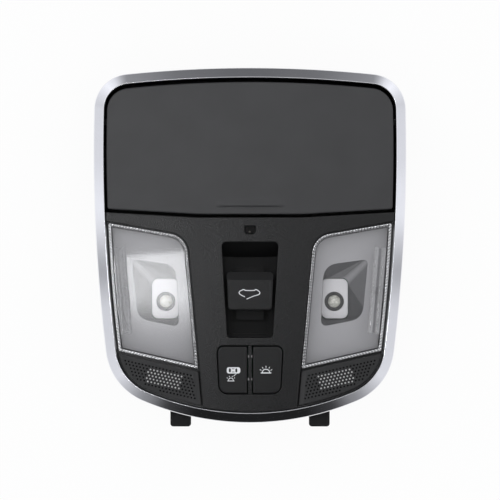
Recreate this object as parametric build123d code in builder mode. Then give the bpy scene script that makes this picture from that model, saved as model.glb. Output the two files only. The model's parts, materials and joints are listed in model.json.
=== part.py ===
from build123d import *
from math import acos, cos, pi, radians, sin, sqrt, tan
import os

# Car overhead console lamp: sunglass holder, two map lamps switched by pressing their lenses,
# sunroof rocker, two lamp buttons and two pierced corner grilles, all inside one metal bezel.
# The lamp lies on its back with its face up (+Z). +Y points to the sunglass end, and the origin is
# the centre of the four roof screws on the back plane. Sizes are in millimetres and degrees.

os.makedirs("parts", exist_ok=True)

# Face outline: four large arcs with rounded corners
HALF_WIDTH = 101.9
WIDEST_Y = 61.75
SIDE_RADIUS = 1085.0
TOP_Y = 115.4
TOP_RADIUS = 800.0
TOP_CORNER_R = 23.4
BOTTOM_Y = -115.7
BOTTOM_RADIUS = 179.0
BOTTOM_CORNER_R = 40.0
OVERRUN = 25.0

# Levels on the centre line; the face is crowned across its width
CROWN_RADIUS = 1800.0
FACE_Z = 48.0
RIM_DROP = 6.5
LAMP_BACK_Z = 14.0
SKIN = 2.5
WALL = 2.2
SEAT_GAP = 0.05
RUNNING_FIT = 0.05

# Bezel
BEZEL_WIDTH = 7.2
BEZEL_PROUD = 1.2
BEZEL_RUN = 5.8
BEZEL_FALL = 4.6
BEZEL_CREST_R = 0.6

# Rear housing
HOUSING_INSET = 3.6
BACK_EDGE_R = 2.5
ROOF_SCREW_X = 86.0
ROOF_SCREW_Y = 45.0
ROOF_BOSS_R = 4.5
ROOF_BOSS_HEIGHT = 12.0
ROOF_PILOT_R = 1.6
ROOF_PILOT_DEPTH = 9.0
TONGUE_X = 45.3
TONGUE_WIDTH = 13.5
TONGUE_REACH = 118.6
TONGUE_Z = 31.0
TONGUE_THICKNESS = 3.0
TONGUE_CORNER_R = 2.0
TONGUE_WEB = 2.4
TONGUE_WEB_DROP = 9.0
BACK_RIB = 1.8
BACK_RIB_HEIGHT = 3.0
BACK_RIB_PITCH = 30.0
BACK_RIB_COLUMNS = 6
BACK_RIB_ROWS = 5
BACK_RIB_CLEAR = 4.0
SEAL_INSET = 1.4
SEAL_THICKNESS = 3.0

# Split between the sunglass door and the front panel
SPLIT_Y = 19.0
SPLIT_GAP = 2.0
SPLIT_FLAT = 33.8
SPLIT_RISE = 3.3
SPLIT_BEND_R = 60.0

# Sunglass holder
DOOR_INSET = 8.6
DOOR_DROP = 0.9
DOOR_EDGE_R = 0.7
DOOR_CORNER_R = 1.2
RIDGE_LENGTH = 46.0
RIDGE_WIDTH = 6.0
RIDGE_HEIGHT = 1.3
RIDGE_TAPER = 52.0
RIDGE_STANDOFF = 7.6
TRAY_HALF = 80.0
TRAY_WALL = 2.0
TRAY_LIP_BACK = 5.5
TRAY_LIP_Z = 31.0
TRAY_KNEE_Y = 62.0
TRAY_DEEP_Z = 8.0
TRAY_TOP_PAST_HINGE = 7.0
TRAY_SHELF = 15.0
TRAY_EDGE_R = 4.0
LINER_THICKNESS = 1.2
LINER_MARGIN = 6.0
HINGE_Y = 80.0
HINGE_Z = 37.0
HINGE_PIN_R = 1.5
PIN_CHAMFER = 0.4
EAR_R = 2.8
EAR_GAP = 1.0
EAR_RIB = 3.0
EAR_RIB_DROP = 15.0
PIN_GRIP = 8.0

# Rotary damper: toothed sector on the tray's left cheek and the damper's gear
GEAR_MODULE = 1.0
SECTOR_TEETH = 48
GEAR_TEETH = 10
SECTOR_WIDTH = 3.2
SECTOR_SPAN_TEETH = 10
GEAR_DIRECTION = 210.0
PRESSURE_ANGLE = 25.0
ADDENDUM = 0.75
DEDENDUM = 1.15
BACKLASH = 0.3
GEAR_SIDE_GAP = 0.5
DAMPER_R = 6.5
DAMPER_SHAFT_R = 1.5
DAMPER_FLANGE = 2.0
DAMPER_FLANGE_LENGTH = 24.0
DAMPER_FLANGE_WIDTH = 10.0

# Push latch at the door's free end
LATCH_WIDTH = 14.0
LATCH_LENGTH = 12.0
LATCH_HEIGHT = 20.0
LATCH_WALL = 2.0
LATCH_TRAVEL = 1.5
PLUNGER_WIDTH = 8.0
PLUNGER_LENGTH = 6.0
PLUNGER_REACH = 6.0
PLUNGER_DEPTH = 9.0
FORK_DEPTH = 4.0
STRIKER = 3.0
STRIKER_GAP = 0.4

# Map lamp corners: one panel edge bounds the lens and the grille below it
CORNER_X = 40.7
CORNER_Y = 6.1
CORNER_R = 14.0
CORNER_LEAN = 5.2
CORNER_RISE = 9.9
CORNER_GAP = 0.8
LENS_INSET = 8.7
LENS_SKIN = 2.0
LENS_SKIRT = 1.8
LENS_DEPTH = 4.2
LENS_TIP_R = 1.2
LENS_TOP_R = 0.5
LENS_BORDER = 1.7
LENS_GROOVE = 0.3
SEAM_X = 33.6
SEAM_Y = -81.3
SEAM_RISE = 12.7
SEAM_GAP = 1.6

# Press mark: two ribs along the lens's outer edge
PRESS_RIB_X = 81.9
PRESS_RIB_Y = -29.6
PRESS_RIB_LENGTH = 57.0
PRESS_RIB_WIDTH = 2.4
PRESS_RIB_PITCH = 4.6
PRESS_RIB_LEAN = 4.0
PRESS_RIB_PROUD = 0.6
PRESS_RIBS = 2

# Lens hinge under the panel's edge
LENS_HINGE_Y = -38.0
LENS_AXIS_INSET = 3.8
LENS_AXIS_DROP = 4.9
LENS_ROD_R = 1.2
LENS_ROD_LENGTH = 50.0
LENS_TAB_PITCH = 24.0
LENS_TAB_LENGTH = 5.0
LENS_TAB_HALF_HEIGHT = 1.2
LENS_TAB_CLEAR = 0.6
LUG_LENGTH = 4.0
LUG_WIDTH = 4.6
LUG_DROP = 2.4
STEM_R = 1.6
STEM_HOLE_GAP = 0.5

# Front panel
PANEL_GAP = 0.15
PANEL_WALL = 2.0
PANEL_EDGE_R = 0.6
OPENING_EDGE_R = 0.5
FRAME_THICKNESS = 2.0
FRAME_GAP = 0.3
LENS_LEDGE = 2.4
PANEL_BOSS_R = 3.0
PANEL_BOSS_X = 24.0
PANEL_BOSS_TOP_Y = 10.5
PANEL_BOSS_BOTTOM_Y = -102.0
SCREW_R = 1.3
SCREW_HEAD_R = 2.8
SCREW_HEAD = 1.8
SCREW_GRIP = 9.0
BOARD_SCREW_GRIP = 3.0
SCREW_PLAY = 0.25

# Map lamp reflector and emitter
REFLECTOR_MARGIN = 0.4
REFLECTOR_WALL = 1.5
RECESS_LEFT = 46.8
RECESS_RIGHT = 75.0
RECESS_TOP = -10.5
RECESS_BOTTOM = -52.2
RECESS_LEAN = 3.0
RECESS_TILT = 2.5
RECESS_TOP_INNER_R = 7.8
RECESS_TOP_OUTER_R = 3.2
RECESS_BOTTOM_OUTER_R = 6.5
RECESS_BOTTOM_INNER_R = 4.5
LED_X = 55.1
LED_Y = -36.9
LED_HOLDER_X = 55.4
LED_HOLDER_Y = -35.05
LED_HOLDER_WIDTH = 17.2
LED_HOLDER_LENGTH = 26.1
LED_HOLDER_TOP_Z = 31.0
LED_HOLDER_PROUD = 0.5
LED_HOLDER_EDGE_R = 0.4
LED_HOLDER_R = 4.0
LED_WELL_R = 6.4
LED_WELL_DEPTH = 4.0
LED_BASE_R = 5.6
LED_BASE_HEIGHT = 1.6
LED_LENS_R = 3.9
LED_LENS_HEIGHT = 2.6
LED_PLAY = 0.3

# Pierced grille and microphone
GRILLE_SKIN = 2.0
GRILLE_SKIRT = 1.6
GRILLE_BEVEL_RUN = 2.6
GRILLE_BEVEL_FALL = 1.1
GRILLE_X = 55.4
GRILLE_Y = -87.0
GRILLE_PITCH = 2.3
GRILLE_HOLE_R = 0.62
GRILLE_COLUMNS = 10
GRILLE_ROWS = 3
GRILLE_HOLE_SIDES = 8
GRILLE_BORDER = 1.9
DIMPLE_R = 0.55
DIMPLE_DEPTH = 0.8
DIMPLE_SIDES = 6
DIMPLE_COLUMNS = 30
DIMPLE_ROWS = 9
SCREEN_LENGTH = 27.0
SCREEN_WIDTH = 11.0
SCREEN_THICKNESS = 0.8
MICROPHONE_R = 4.8
MICROPHONE_HEIGHT = 5.0

# Sunroof switch
POCKET_TOP_Y = 1.95
POCKET_BOTTOM_Y = -60.1
POCKET_TOP_WIDTH = 37.0
POCKET_BOTTOM_WIDTH = 29.6
POCKET_TOP_R = 3.0
POCKET_BOTTOM_R = 2.0
CUP_WALL = 1.8
CUP_FLOOR_Z = 33.0
CUP_RAMP = 9.6
SLOT_WIDTH = 23.3
SLOT_END = 2.2
KNOB_Y = -29.9
KNOB_TOP_WIDTH = 30.6
KNOB_BOTTOM_WIDTH = 28.3
KNOB_LENGTH = 24.8
KNOB_CORNER_R = 2.5
KNOB_BACK_Z = 38.4
KNOB_PROUD = 1.1
KNOB_CHAMFER_RUN = 5.2
KNOB_CHAMFER_FALL = 3.2
KNOB_EDGE_R = 1.0
KNOB_STEM_WIDTH = 10.0
KNOB_STEM_LENGTH = 8.0
KNOB_STEM_DEPTH = 6.0
SUNROOF_PRESS = 1.2
SUNROOF_SLIDE = 3.0
CARRIAGE_WIDTH = 18.0
CARRIAGE_TOP_Y = -14.5
CARRIAGE_BOTTOM_Y = -48.7
CARRIAGE_FOOT = 2.4
CARRIAGE_FOOT_MARGIN = 3.0
SHIELD_MARGIN = 2.0
SHIELD_THICKNESS = 1.4
SHIELD_GAP = 0.3
SLIDE_FIT = 0.2
SWITCH_BASE_HEIGHT = 5.0
SWITCH_RAIL = 1.6

# Lamp buttons
BUTTON_TOP_Y = -65.3
BUTTON_BOTTOM_Y = -96.9
BUTTON_TOP_WIDTH = 43.5
BUTTON_BOTTOM_WIDTH = 40.3
BUTTON_TOP_R = 4.5
BUTTON_BOTTOM_R = 6.0
BUTTON_GAP = 0.45
BUTTON_SPLIT = 3.6
BUTTON_INNER_R = 1.0
BUTTON_PROUD = 0.7
BUTTON_EDGE_R = 1.1
BUTTON_SHELL = 1.6
BUTTON_HEIGHT = 8.0
BUTTON_POST_R = 2.4
DIVIDER_BAR = 2.2
DIVIDER_BAR_DROP = 1.4
COLLAR = 1.5
COLLAR_DEPTH = 9.0

# Mood lamp window
MOOD_Y = 9.75
MOOD_WIDTH = 7.1
MOOD_HEIGHT = 5.2
MOOD_TOP_R = 0.5
MOOD_BOTTOM_R = 2.0
MOOD_GAP = 0.25
MOOD_SUNK = 2.6
MOOD_LED_SIZE = 3.2
MOOD_LED_HEIGHT = 1.4

# Circuit board, switches and connector
BOARD_Z = 18.0
BOARD_THICKNESS = 1.6
BOARD_GAP = 1.2
STANDOFF_R = 3.4
STANDOFF_X = 66.0
STANDOFF_TOP_Y = 0.0
STANDOFF_BOTTOM_Y = -68.0
DOME_R = 4.0
DOME_TOP_R = 2.4
DOME_FOOT = 1.0
DOME_HEIGHT = 5.2
DOME_GAP = 0.1
SWITCH_SIZE = 9.0
SWITCH_HEIGHT = 1.4
CONNECTOR_X = -52.0
CONNECTOR_Y = -14.0
CONNECTOR_LENGTH = 28.0
CONNECTOR_WIDTH = 13.0
CONNECTOR_WALL = 1.4
CONNECTOR_FLOOR = 3.0
CONNECTOR_REACH = 9.0
CONNECTOR_GAP = 0.4
PIN_PITCH = 3.0
PIN_SIZE = 0.64
PIN_ROWS = 2
PIN_COLUMNS = 8
PIN_LENGTH = 6.5

# Derived levels and places
RIM_Z = FACE_Z - RIM_DROP
BOARD_TOP_Z = BOARD_Z + BOARD_THICKNESS
LAMP_FLOOR_Z = LAMP_BACK_Z + WALL
DIVIDER_Y = SPLIT_Y - SPLIT_GAP / 2 - SEAT_GAP
CROWN_SPAN = TOP_Y - BOTTOM_Y + OVERRUN
FRAME_BACK_Z = RIM_Z - FRAME_THICKNESS
REFLECTOR_FRONT_Z = FRAME_BACK_Z - SEAT_GAP
EAR_X = TRAY_HALF + SECTOR_WIDTH + EAR_GAP
SECTOR_R = GEAR_MODULE * SECTOR_TEETH / 2
GEAR_R = GEAR_MODULE * GEAR_TEETH / 2
GEAR_Y = HINGE_Y + (SECTOR_R + GEAR_R) * cos(radians(GEAR_DIRECTION))
GEAR_Z = HINGE_Z + (SECTOR_R + GEAR_R) * sin(radians(GEAR_DIRECTION))
LIP_Y = SPLIT_Y + TRAY_LIP_BACK
PANEL_BOSSES = [
    (side * PANEL_BOSS_X, y)
    for side in (-1, 1)
    for y in (PANEL_BOSS_TOP_Y, PANEL_BOSS_BOTTOM_Y)
]
STANDOFFS = [(x, y) for x in (-STANDOFF_X, STANDOFF_X) for y in (STANDOFF_TOP_Y, STANDOFF_BOTTOM_Y)]
ROOF_SCREWS = [(x, y) for x in (-ROOF_SCREW_X, ROOF_SCREW_X) for y in (-ROOF_SCREW_Y, ROOF_SCREW_Y)]


def face_outline(inset):
    """The face outline drawn in by an inset."""
    with BuildSketch() as shape:
        with Locations((0, TOP_Y - TOP_RADIUS)):
            Circle(TOP_RADIUS - inset)
        with Locations((0, BOTTOM_Y + BOTTOM_RADIUS)):
            Circle(BOTTOM_RADIUS - inset, mode=Mode.INTERSECT)
        for side in (-1, 1):
            with Locations((side * (HALF_WIDTH - SIDE_RADIUS), WIDEST_Y)):
                Circle(SIDE_RADIUS - inset, mode=Mode.INTERSECT)
        fillet(shape.vertices().sort_by(Axis.Y)[-2:], TOP_CORNER_R - inset)
        fillet(shape.vertices().sort_by(Axis.Y)[:2], BOTTOM_CORNER_R - inset)
    return shape.sketch


def half_plane(y, direction):
    """Everything on one side of the line at y."""
    depth = TOP_Y - BOTTOM_Y
    with BuildSketch() as shape:
        with Locations((0, y + direction * depth / 2)):
            Rectangle(2 * (HALF_WIDTH + OVERRUN), depth)
    return shape.sketch


def split_side(shift, direction):
    """Everything on one side of the bent split line, moved along Y by a shift."""
    end = HALF_WIDTH + OVERRUN
    end_y = SPLIT_Y + shift + (end - SPLIT_FLAT) * tan(radians(SPLIT_RISE))
    far_y = direction * (TOP_Y - BOTTOM_Y)
    with BuildSketch() as shape:
        Polygon(
            (-end, end_y),
            (-SPLIT_FLAT, SPLIT_Y + shift),
            (SPLIT_FLAT, SPLIT_Y + shift),
            (end, end_y),
            (end, far_y),
            (-end, far_y),
            align=None,
        )
        bends = shape.vertices().filter_by_position(Axis.X, -SPLIT_FLAT, SPLIT_FLAT)
        fillet(bends, SPLIT_BEND_R)
    return shape.sketch


def seam_side(shift, direction):
    """Everything above or below the seam between the right lens and its grille."""
    end = HALF_WIDTH + OVERRUN
    far_y = direction * (TOP_Y - BOTTOM_Y)
    slope = tan(radians(SEAM_RISE))
    with BuildSketch() as shape:
        Polygon(
            (0, SEAM_Y + shift - SEAM_X * slope),
            (end, SEAM_Y + shift + (end - SEAM_X) * slope),
            (end, far_y),
            (0, far_y),
            align=None,
        )
    return shape.sketch


def crown(level):
    """Everything below the crowned surface that has this level on the centre line."""
    with BuildPart() as body:
        with BuildSketch(Plane.XZ):
            with Locations((0, level - CROWN_RADIUS)):
                Circle(CROWN_RADIUS)
        extrude(amount=CROWN_SPAN, both=True)
    return body.part


def crown_drop(x):
    """How far the crowned face has fallen at a distance from the centre line."""
    return CROWN_RADIUS - sqrt(CROWN_RADIUS ** 2 - x ** 2)


def crowned_slab(shape, lower, upper):
    """A sketch given thickness between two crowned levels."""
    top = crown(upper)
    base = crown(lower)
    sag = crown_drop(HALF_WIDTH + OVERRUN)
    with BuildPart() as slab:
        with BuildSketch(Plane.XY.offset(lower - sag)):
            add(shape)
        extrude(amount=upper - lower + sag)
        add(top, mode=Mode.INTERSECT)
        add(base, mode=Mode.SUBTRACT)
    return slab.part


def hinge_plane(x):
    """Plane across the sunglass holder's hinge axis at x, with +Y and +Z as its own axes."""
    return Plane(origin=(x, HINGE_Y, HINGE_Z), x_dir=(0, 1, 0), z_dir=(1, 0, 0))


def grown(shape, amount):
    """A sketch offset outwards, or inwards where the amount is negative."""
    with BuildSketch() as result:
        add(shape)
        offset(amount=amount, kind=Kind.INTERSECTION)
    return result.sketch


def gear_tooth(pitch_radius):
    """One involute tooth about +X, with its foot sunk below the root circle."""
    pressure = radians(PRESSURE_ANGLE)
    base_radius = pitch_radius * cos(pressure)
    half_tooth = (pi * GEAR_MODULE / 2 - BACKLASH) / 2 / pitch_radius
    foot_radius = pitch_radius - DEDENDUM - BACKLASH
    tip_radius = pitch_radius + ADDENDUM
    middle_radius = (max(base_radius, pitch_radius - DEDENDUM) + tip_radius) / 2
    flank = []
    for radius in (foot_radius, max(base_radius, foot_radius), middle_radius, tip_radius):
        roll = acos(min(1.0, base_radius / radius))
        angle = half_tooth + tan(pressure) - pressure - tan(roll) + roll
        flank.append((radius * cos(angle), radius * sin(angle)))
    with BuildSketch() as tooth:
        Polygon(*flank, *[(x, -y) for x, y in reversed(flank)], align=None)
    return tooth.sketch


def rounded_trapezoid(top_y, bottom_y, top_width, bottom_width, top_r, bottom_r):
    """A symmetrical trapezoid with rounded corners."""
    with BuildSketch() as shape:
        Polygon(
            (-top_width / 2, top_y),
            (top_width / 2, top_y),
            (bottom_width / 2, bottom_y),
            (-bottom_width / 2, bottom_y),
            align=None,
        )
        fillet(shape.vertices().sort_by(Axis.Y)[-2:], top_r)
        fillet(shape.vertices().sort_by(Axis.Y)[:2], bottom_r)
    return shape.sketch


# Shared outlines of the face
face_edge = face_outline(0)
bezel_inner = face_outline(BEZEL_WIDTH)
housing_outer = face_outline(HOUSING_INSET)
housing_inner = face_outline(HOUSING_INSET + WALL)
seal_outer = face_outline(SEAL_INSET)
seal_inner = face_outline(HOUSING_INSET - FRAME_GAP)
frame_edge = face_outline(HOUSING_INSET + WALL + FRAME_GAP)
panel_edge = face_outline(BEZEL_WIDTH + PANEL_GAP)
lens_edge = face_outline(LENS_INSET)
door_edge = face_outline(DOOR_INSET)
board_edge = face_outline(HOUSING_INSET + WALL + BOARD_GAP)
door_side = split_side(SPLIT_GAP / 2, 1)
panel_side = split_side(-SPLIT_GAP / 2, -1)
holder_end = half_plane(DIVIDER_Y - WALL, 1)
pocket_end = half_plane(DIVIDER_Y, 1)
lamp_end = half_plane(DIVIDER_Y - WALL, -1)
board_end = half_plane(DIVIDER_Y - WALL - BOARD_GAP, -1)
above_seam = seam_side(SEAM_GAP / 2, 1)
below_seam = seam_side(-SEAM_GAP / 2, -1)
below_rim = crown(RIM_Z)

with BuildSketch() as bezel_shape:
    add(face_edge)
    add(bezel_inner, mode=Mode.SUBTRACT)

with BuildSketch() as seal_shape:
    add(seal_outer)
    add(seal_inner, mode=Mode.SUBTRACT)

with BuildSketch() as door_shape:
    with Locations((0, -DOOR_DROP)):
        add(door_edge)
    add(door_side, mode=Mode.INTERSECT)
    low_points = door_shape.vertices().filter_by_position(Axis.Y, 0, WIDEST_Y).sort_by(Axis.X)
    fillet([low_points[0], low_points[-1]], DOOR_CORNER_R)

# Corner of the right map lamp: the panel edge round the lens and its grille
corner_end = HALF_WIDTH + OVERRUN
corner_far = BOTTOM_Y - OVERRUN
corner_slope = tan(radians(CORNER_LEAN))
with BuildSketch() as corner_shape:
    Polygon(
        (CORNER_X, CORNER_Y),
        (corner_end, CORNER_Y + (corner_end - CORNER_X) * tan(radians(CORNER_RISE))),
        (corner_end, corner_far),
        (CORNER_X - (CORNER_Y - corner_far) * corner_slope, corner_far),
        align=None,
    )
    fillet(corner_shape.vertices().sort_by_distance((CORNER_X, CORNER_Y))[0], CORNER_R)

corner_opening = grown(corner_shape.sketch, -CORNER_GAP)

with BuildSketch() as lens_shape:
    add(corner_opening)
    add(lens_edge, mode=Mode.INTERSECT)
    add(above_seam, mode=Mode.INTERSECT)
    offset(amount=-LENS_TIP_R, kind=Kind.INTERSECTION)
    offset(amount=LENS_TIP_R)

with BuildSketch() as grille_shape:
    add(corner_opening)
    add(lens_edge, mode=Mode.INTERSECT)
    add(below_seam, mode=Mode.INTERSECT)

with BuildSketch() as panel_shape:
    add(panel_edge)
    add(panel_side, mode=Mode.INTERSECT)
    add(corner_shape.sketch, mode=Mode.SUBTRACT)
    mirror(corner_shape.sketch, about=Plane.YZ, mode=Mode.SUBTRACT)

panel_inside = grown(panel_shape.sketch, -PANEL_WALL)
lens_aperture = grown(lens_shape.sketch, -LENS_LEDGE)
grille_aperture = grown(grille_shape.sketch, -LENS_LEDGE)

with BuildSketch() as panel_wall_shape:
    add(panel_shape.sketch)
    add(panel_inside, mode=Mode.SUBTRACT)

with BuildSketch() as frame_shape:
    add(frame_edge)
    add(panel_side, mode=Mode.INTERSECT)
    add(panel_inside, mode=Mode.SUBTRACT)
    for aperture in (lens_aperture, grille_aperture):
        add(aperture, mode=Mode.SUBTRACT)
        mirror(aperture, about=Plane.YZ, mode=Mode.SUBTRACT)

# Bezel: a crowned ring with a broad slope to the outside
bezel_slab = crowned_slab(bezel_shape.sketch, RIM_Z + SEAT_GAP, FACE_Z + BEZEL_PROUD)
with BuildPart() as bezel_trim:
    add(bezel_slab)
    crest = bezel_trim.faces().sort_by(Axis.Z)[-1]
    chamfer(crest.outer_wire().edges(), BEZEL_RUN, BEZEL_FALL, reference=crest)
    crest = bezel_trim.faces().sort_by(Axis.Z)[-1]
    fillet(crest.edges(), BEZEL_CREST_R)

# Foam ring between the bezel and the roof lining
seal_slab = crowned_slab(seal_shape.sketch, RIM_Z - SEAL_THICKNESS, RIM_Z)
with BuildPart() as headliner_seal:
    add(seal_slab)

# Sunglass door: crowned skin with a finger ridge
door_slab = crowned_slab(door_shape.sketch, FACE_Z - SKIN, FACE_Z)
with BuildPart() as sunglass_door:
    add(door_slab)
    fillet(sunglass_door.faces().sort_by(Axis.Z)[-1].edges(), DOOR_EDGE_R)
    with BuildSketch(Plane.XY.offset(FACE_Z - SKIN / 2)):
        with Locations((0, SPLIT_Y + RIDGE_STANDOFF)):
            SlotOverall(RIDGE_LENGTH, RIDGE_WIDTH)
    extrude(amount=SKIN / 2 + RIDGE_HEIGHT, taper=RIDGE_TAPER)

# Rear housing: deep pocket behind the door, shallow chamber behind the lamps
with BuildSketch() as frame_room_shape:
    add(housing_inner)
    add(panel_side, mode=Mode.INTERSECT)
frame_room = crowned_slab(frame_room_shape.sketch, FRAME_BACK_Z - SEAT_GAP, FACE_Z)
with BuildPart() as rear_housing:
    with BuildSketch(Plane.XY.offset(LAMP_BACK_Z)):
        add(housing_outer)
    extrude(amount=FACE_Z - LAMP_BACK_Z)
    with BuildSketch():
        add(housing_outer)
        add(holder_end, mode=Mode.INTERSECT)
    extrude(amount=LAMP_BACK_Z)
    fillet(rear_housing.faces().sort_by(Axis.Z)[0].edges(), BACK_EDGE_R)
    with BuildSketch(Plane.XY.offset(WALL)):
        add(housing_inner)
        add(pocket_end, mode=Mode.INTERSECT)
    extrude(amount=FACE_Z, mode=Mode.SUBTRACT)
    with BuildSketch(Plane.XY.offset(LAMP_FLOOR_Z)):
        add(housing_inner)
        add(lamp_end, mode=Mode.INTERSECT)
    extrude(amount=FACE_Z, mode=Mode.SUBTRACT)
    # Crossed ribs on the back of the lamp chamber, clear of the panel screws and the harness plug
    with BuildSketch(Plane.XY.offset(LAMP_BACK_Z - BACK_RIB_HEIGHT)):
        with GridLocations(BACK_RIB_PITCH, 1, BACK_RIB_COLUMNS, 1):
            Rectangle(BACK_RIB, 2 * TOP_Y)
        with Locations((0, -ROOF_SCREW_Y)):
            with GridLocations(1, BACK_RIB_PITCH, 1, BACK_RIB_ROWS):
                Rectangle(2 * HALF_WIDTH, BACK_RIB)
        add(housing_inner, mode=Mode.INTERSECT)
        add(lamp_end, mode=Mode.INTERSECT)
        with Locations(*PANEL_BOSSES):
            Circle(SCREW_HEAD_R + BACK_RIB_CLEAR, mode=Mode.SUBTRACT)
        with Locations((CONNECTOR_X, CONNECTOR_Y)):
            Rectangle(
                CONNECTOR_LENGTH + 2 * BACK_RIB_CLEAR,
                CONNECTOR_WIDTH + 2 * BACK_RIB_CLEAR,
                mode=Mode.SUBTRACT,
            )
    extrude(amount=BACK_RIB_HEIGHT + WALL / 2)
    # Roof screw bosses: low posts inside the pocket, long ones behind the lamp chamber
    with BuildSketch():
        with Locations(*ROOF_SCREWS):
            Circle(ROOF_BOSS_R)
        add(pocket_end, mode=Mode.INTERSECT)
    extrude(amount=ROOF_BOSS_HEIGHT)
    with BuildSketch():
        with Locations(*ROOF_SCREWS):
            Circle(ROOF_BOSS_R)
        add(lamp_end, mode=Mode.INTERSECT)
    extrude(amount=LAMP_FLOOR_Z)
    with BuildSketch():
        with Locations(*ROOF_SCREWS):
            Circle(ROOF_PILOT_R)
    extrude(amount=ROOF_PILOT_DEPTH, mode=Mode.SUBTRACT)
    # Bosses under the circuit board
    with BuildSketch(Plane.XY.offset(LAMP_FLOOR_Z - WALL / 2)):
        with Locations(*STANDOFFS):
            Circle(STANDOFF_R)
    extrude(amount=BOARD_Z - SEAT_GAP - LAMP_FLOOR_Z + WALL / 2)
    with BuildSketch(Plane.XY.offset(BOARD_Z - BOARD_SCREW_GRIP)):
        with Locations(*STANDOFFS):
            Circle(SCREW_R + SCREW_PLAY)
    extrude(amount=SCREW_GRIP, mode=Mode.SUBTRACT)
    # Clearance holes of the panel screws and the window of the harness socket
    with BuildSketch(Plane.XY.offset(LAMP_BACK_Z)):
        with Locations(*PANEL_BOSSES):
            Circle(SCREW_R + SCREW_PLAY)
        with Locations((CONNECTOR_X, CONNECTOR_Y)):
            Rectangle(CONNECTOR_LENGTH + 2 * CONNECTOR_GAP, CONNECTOR_WIDTH + 2 * CONNECTOR_GAP)
    extrude(amount=WALL, mode=Mode.SUBTRACT)
    # Hinge ears on the pocket's side walls, trimmed with the walls to the crowned rim
    for side in (-1, 1):
        with BuildSketch(hinge_plane(side * EAR_X)):
            Circle(EAR_R)
            with Locations((0, -EAR_RIB_DROP / 2)):
                Rectangle(EAR_RIB, EAR_RIB_DROP)
        extrude(amount=side * (HALF_WIDTH - HOUSING_INSET - WALL / 2 - EAR_X))
        with BuildSketch(hinge_plane(side * EAR_X)):
            Circle(HINGE_PIN_R + RUNNING_FIT)
        extrude(amount=side * (PIN_GRIP + EAR_GAP), mode=Mode.SUBTRACT)
    add(below_rim, mode=Mode.INTERSECT)
    add(frame_room, mode=Mode.SUBTRACT)
    # Tongues that hook over the roof bracket, each with a web
    for side in (-1, 1):
        for low, high, width, reach in (
            (TONGUE_Z, TONGUE_Z + TONGUE_THICKNESS, TONGUE_WIDTH, TONGUE_REACH),
            (TONGUE_Z - TONGUE_WEB_DROP, TONGUE_Z, TONGUE_WEB, TONGUE_REACH - TONGUE_CORNER_R),
        ):
            with BuildSketch(Plane.XY.offset(low)):
                with Locations((side * TONGUE_X, -reach / 2)):
                    RectangleRounded(width, reach, min(TONGUE_CORNER_R, width / 3))
                add(housing_inner, mode=Mode.SUBTRACT)
            extrude(amount=high - low)

# Steel pins of the sunglass holder
pin_start = TRAY_HALF - TRAY_WALL - EAR_GAP
with BuildPart() as hinge_pin_right:
    with BuildSketch(hinge_plane(pin_start)):
        Circle(HINGE_PIN_R)
    extrude(amount=EAR_X + PIN_GRIP - pin_start)
    chamfer(hinge_pin_right.edges().filter_by(GeomType.CIRCLE), PIN_CHAMFER)

with BuildPart() as hinge_pin_left:
    mirror(hinge_pin_right.part, about=Plane.YZ)

# Tray of the sunglass holder: open at the back, with a shelf at the hinge end and a damper sector
tray_top = HINGE_Y + TRAY_TOP_PAST_HINGE
tray_inside = TRAY_HALF - TRAY_WALL
with BuildSketch() as tray_hollow_shape:
    with Locations((0, (LIP_Y + tray_top) / 2)):
        Rectangle(2 * tray_inside, tray_top - LIP_Y - 2 * TRAY_WALL)
below_door = crown(FACE_Z - SKIN - SEAT_GAP)
tray_hollow = crowned_slab(tray_hollow_shape.sketch, -OVERRUN, FACE_Z - SKIN - SEAT_GAP - TRAY_WALL)
sector_tooth = gear_tooth(SECTOR_R)
tooth_step = 360 / SECTOR_TEETH
with BuildPart() as sunglass_tray:
    with BuildSketch(Plane.YZ) as tray_profile:
        Polygon(
            (LIP_Y, FACE_Z),
            (LIP_Y, TRAY_LIP_Z),
            (TRAY_KNEE_Y, TRAY_DEEP_Z),
            (tray_top, TRAY_DEEP_Z),
            (tray_top, FACE_Z),
            align=None,
        )
        fillet(tray_profile.vertices().sort_by(Axis.Y)[1:4], TRAY_EDGE_R)
    extrude(amount=TRAY_HALF, both=True)
    add(below_door, mode=Mode.INTERSECT)
    add(tray_hollow, mode=Mode.SUBTRACT)
    with BuildSketch(Plane.XY.offset(TRAY_DEEP_Z)):
        with Locations((0, tray_top - TRAY_SHELF / 2 - TRAY_WALL / 2)):
            Rectangle(2 * tray_inside + TRAY_WALL, TRAY_SHELF - TRAY_WALL)
    extrude(amount=TRAY_WALL)
    # Striker blade that the latch holds
    with BuildSketch(Plane.XY.offset(TRAY_LIP_Z - FORK_DEPTH)):
        with Locations((0, LIP_Y + TRAY_WALL / 2)):
            Rectangle(STRIKER, TRAY_WALL)
    extrude(amount=2 * FORK_DEPTH)
    # Toothed sector on the left cheek
    with BuildSketch(hinge_plane(-TRAY_HALF - SECTOR_WIDTH)):
        Circle(EAR_R + TRAY_WALL)
        with BuildLine():
            fan = CenterArc(
                (0, 0),
                SECTOR_R - DEDENDUM,
                GEAR_DIRECTION - tooth_step,
                (SECTOR_SPAN_TEETH + 1) * tooth_step,
            )
            Line(fan @ 1, (0, 0))
            Line((0, 0), fan @ 0)
        make_face()
        with PolarLocations(0, SECTOR_SPAN_TEETH, GEAR_DIRECTION, SECTOR_SPAN_TEETH * tooth_step):
            add(sector_tooth)
    extrude(amount=SECTOR_WIDTH)
    with BuildSketch(hinge_plane(0)):
        Circle(HINGE_PIN_R + RUNNING_FIT)
    extrude(amount=EAR_X, both=True, mode=Mode.SUBTRACT)

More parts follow.
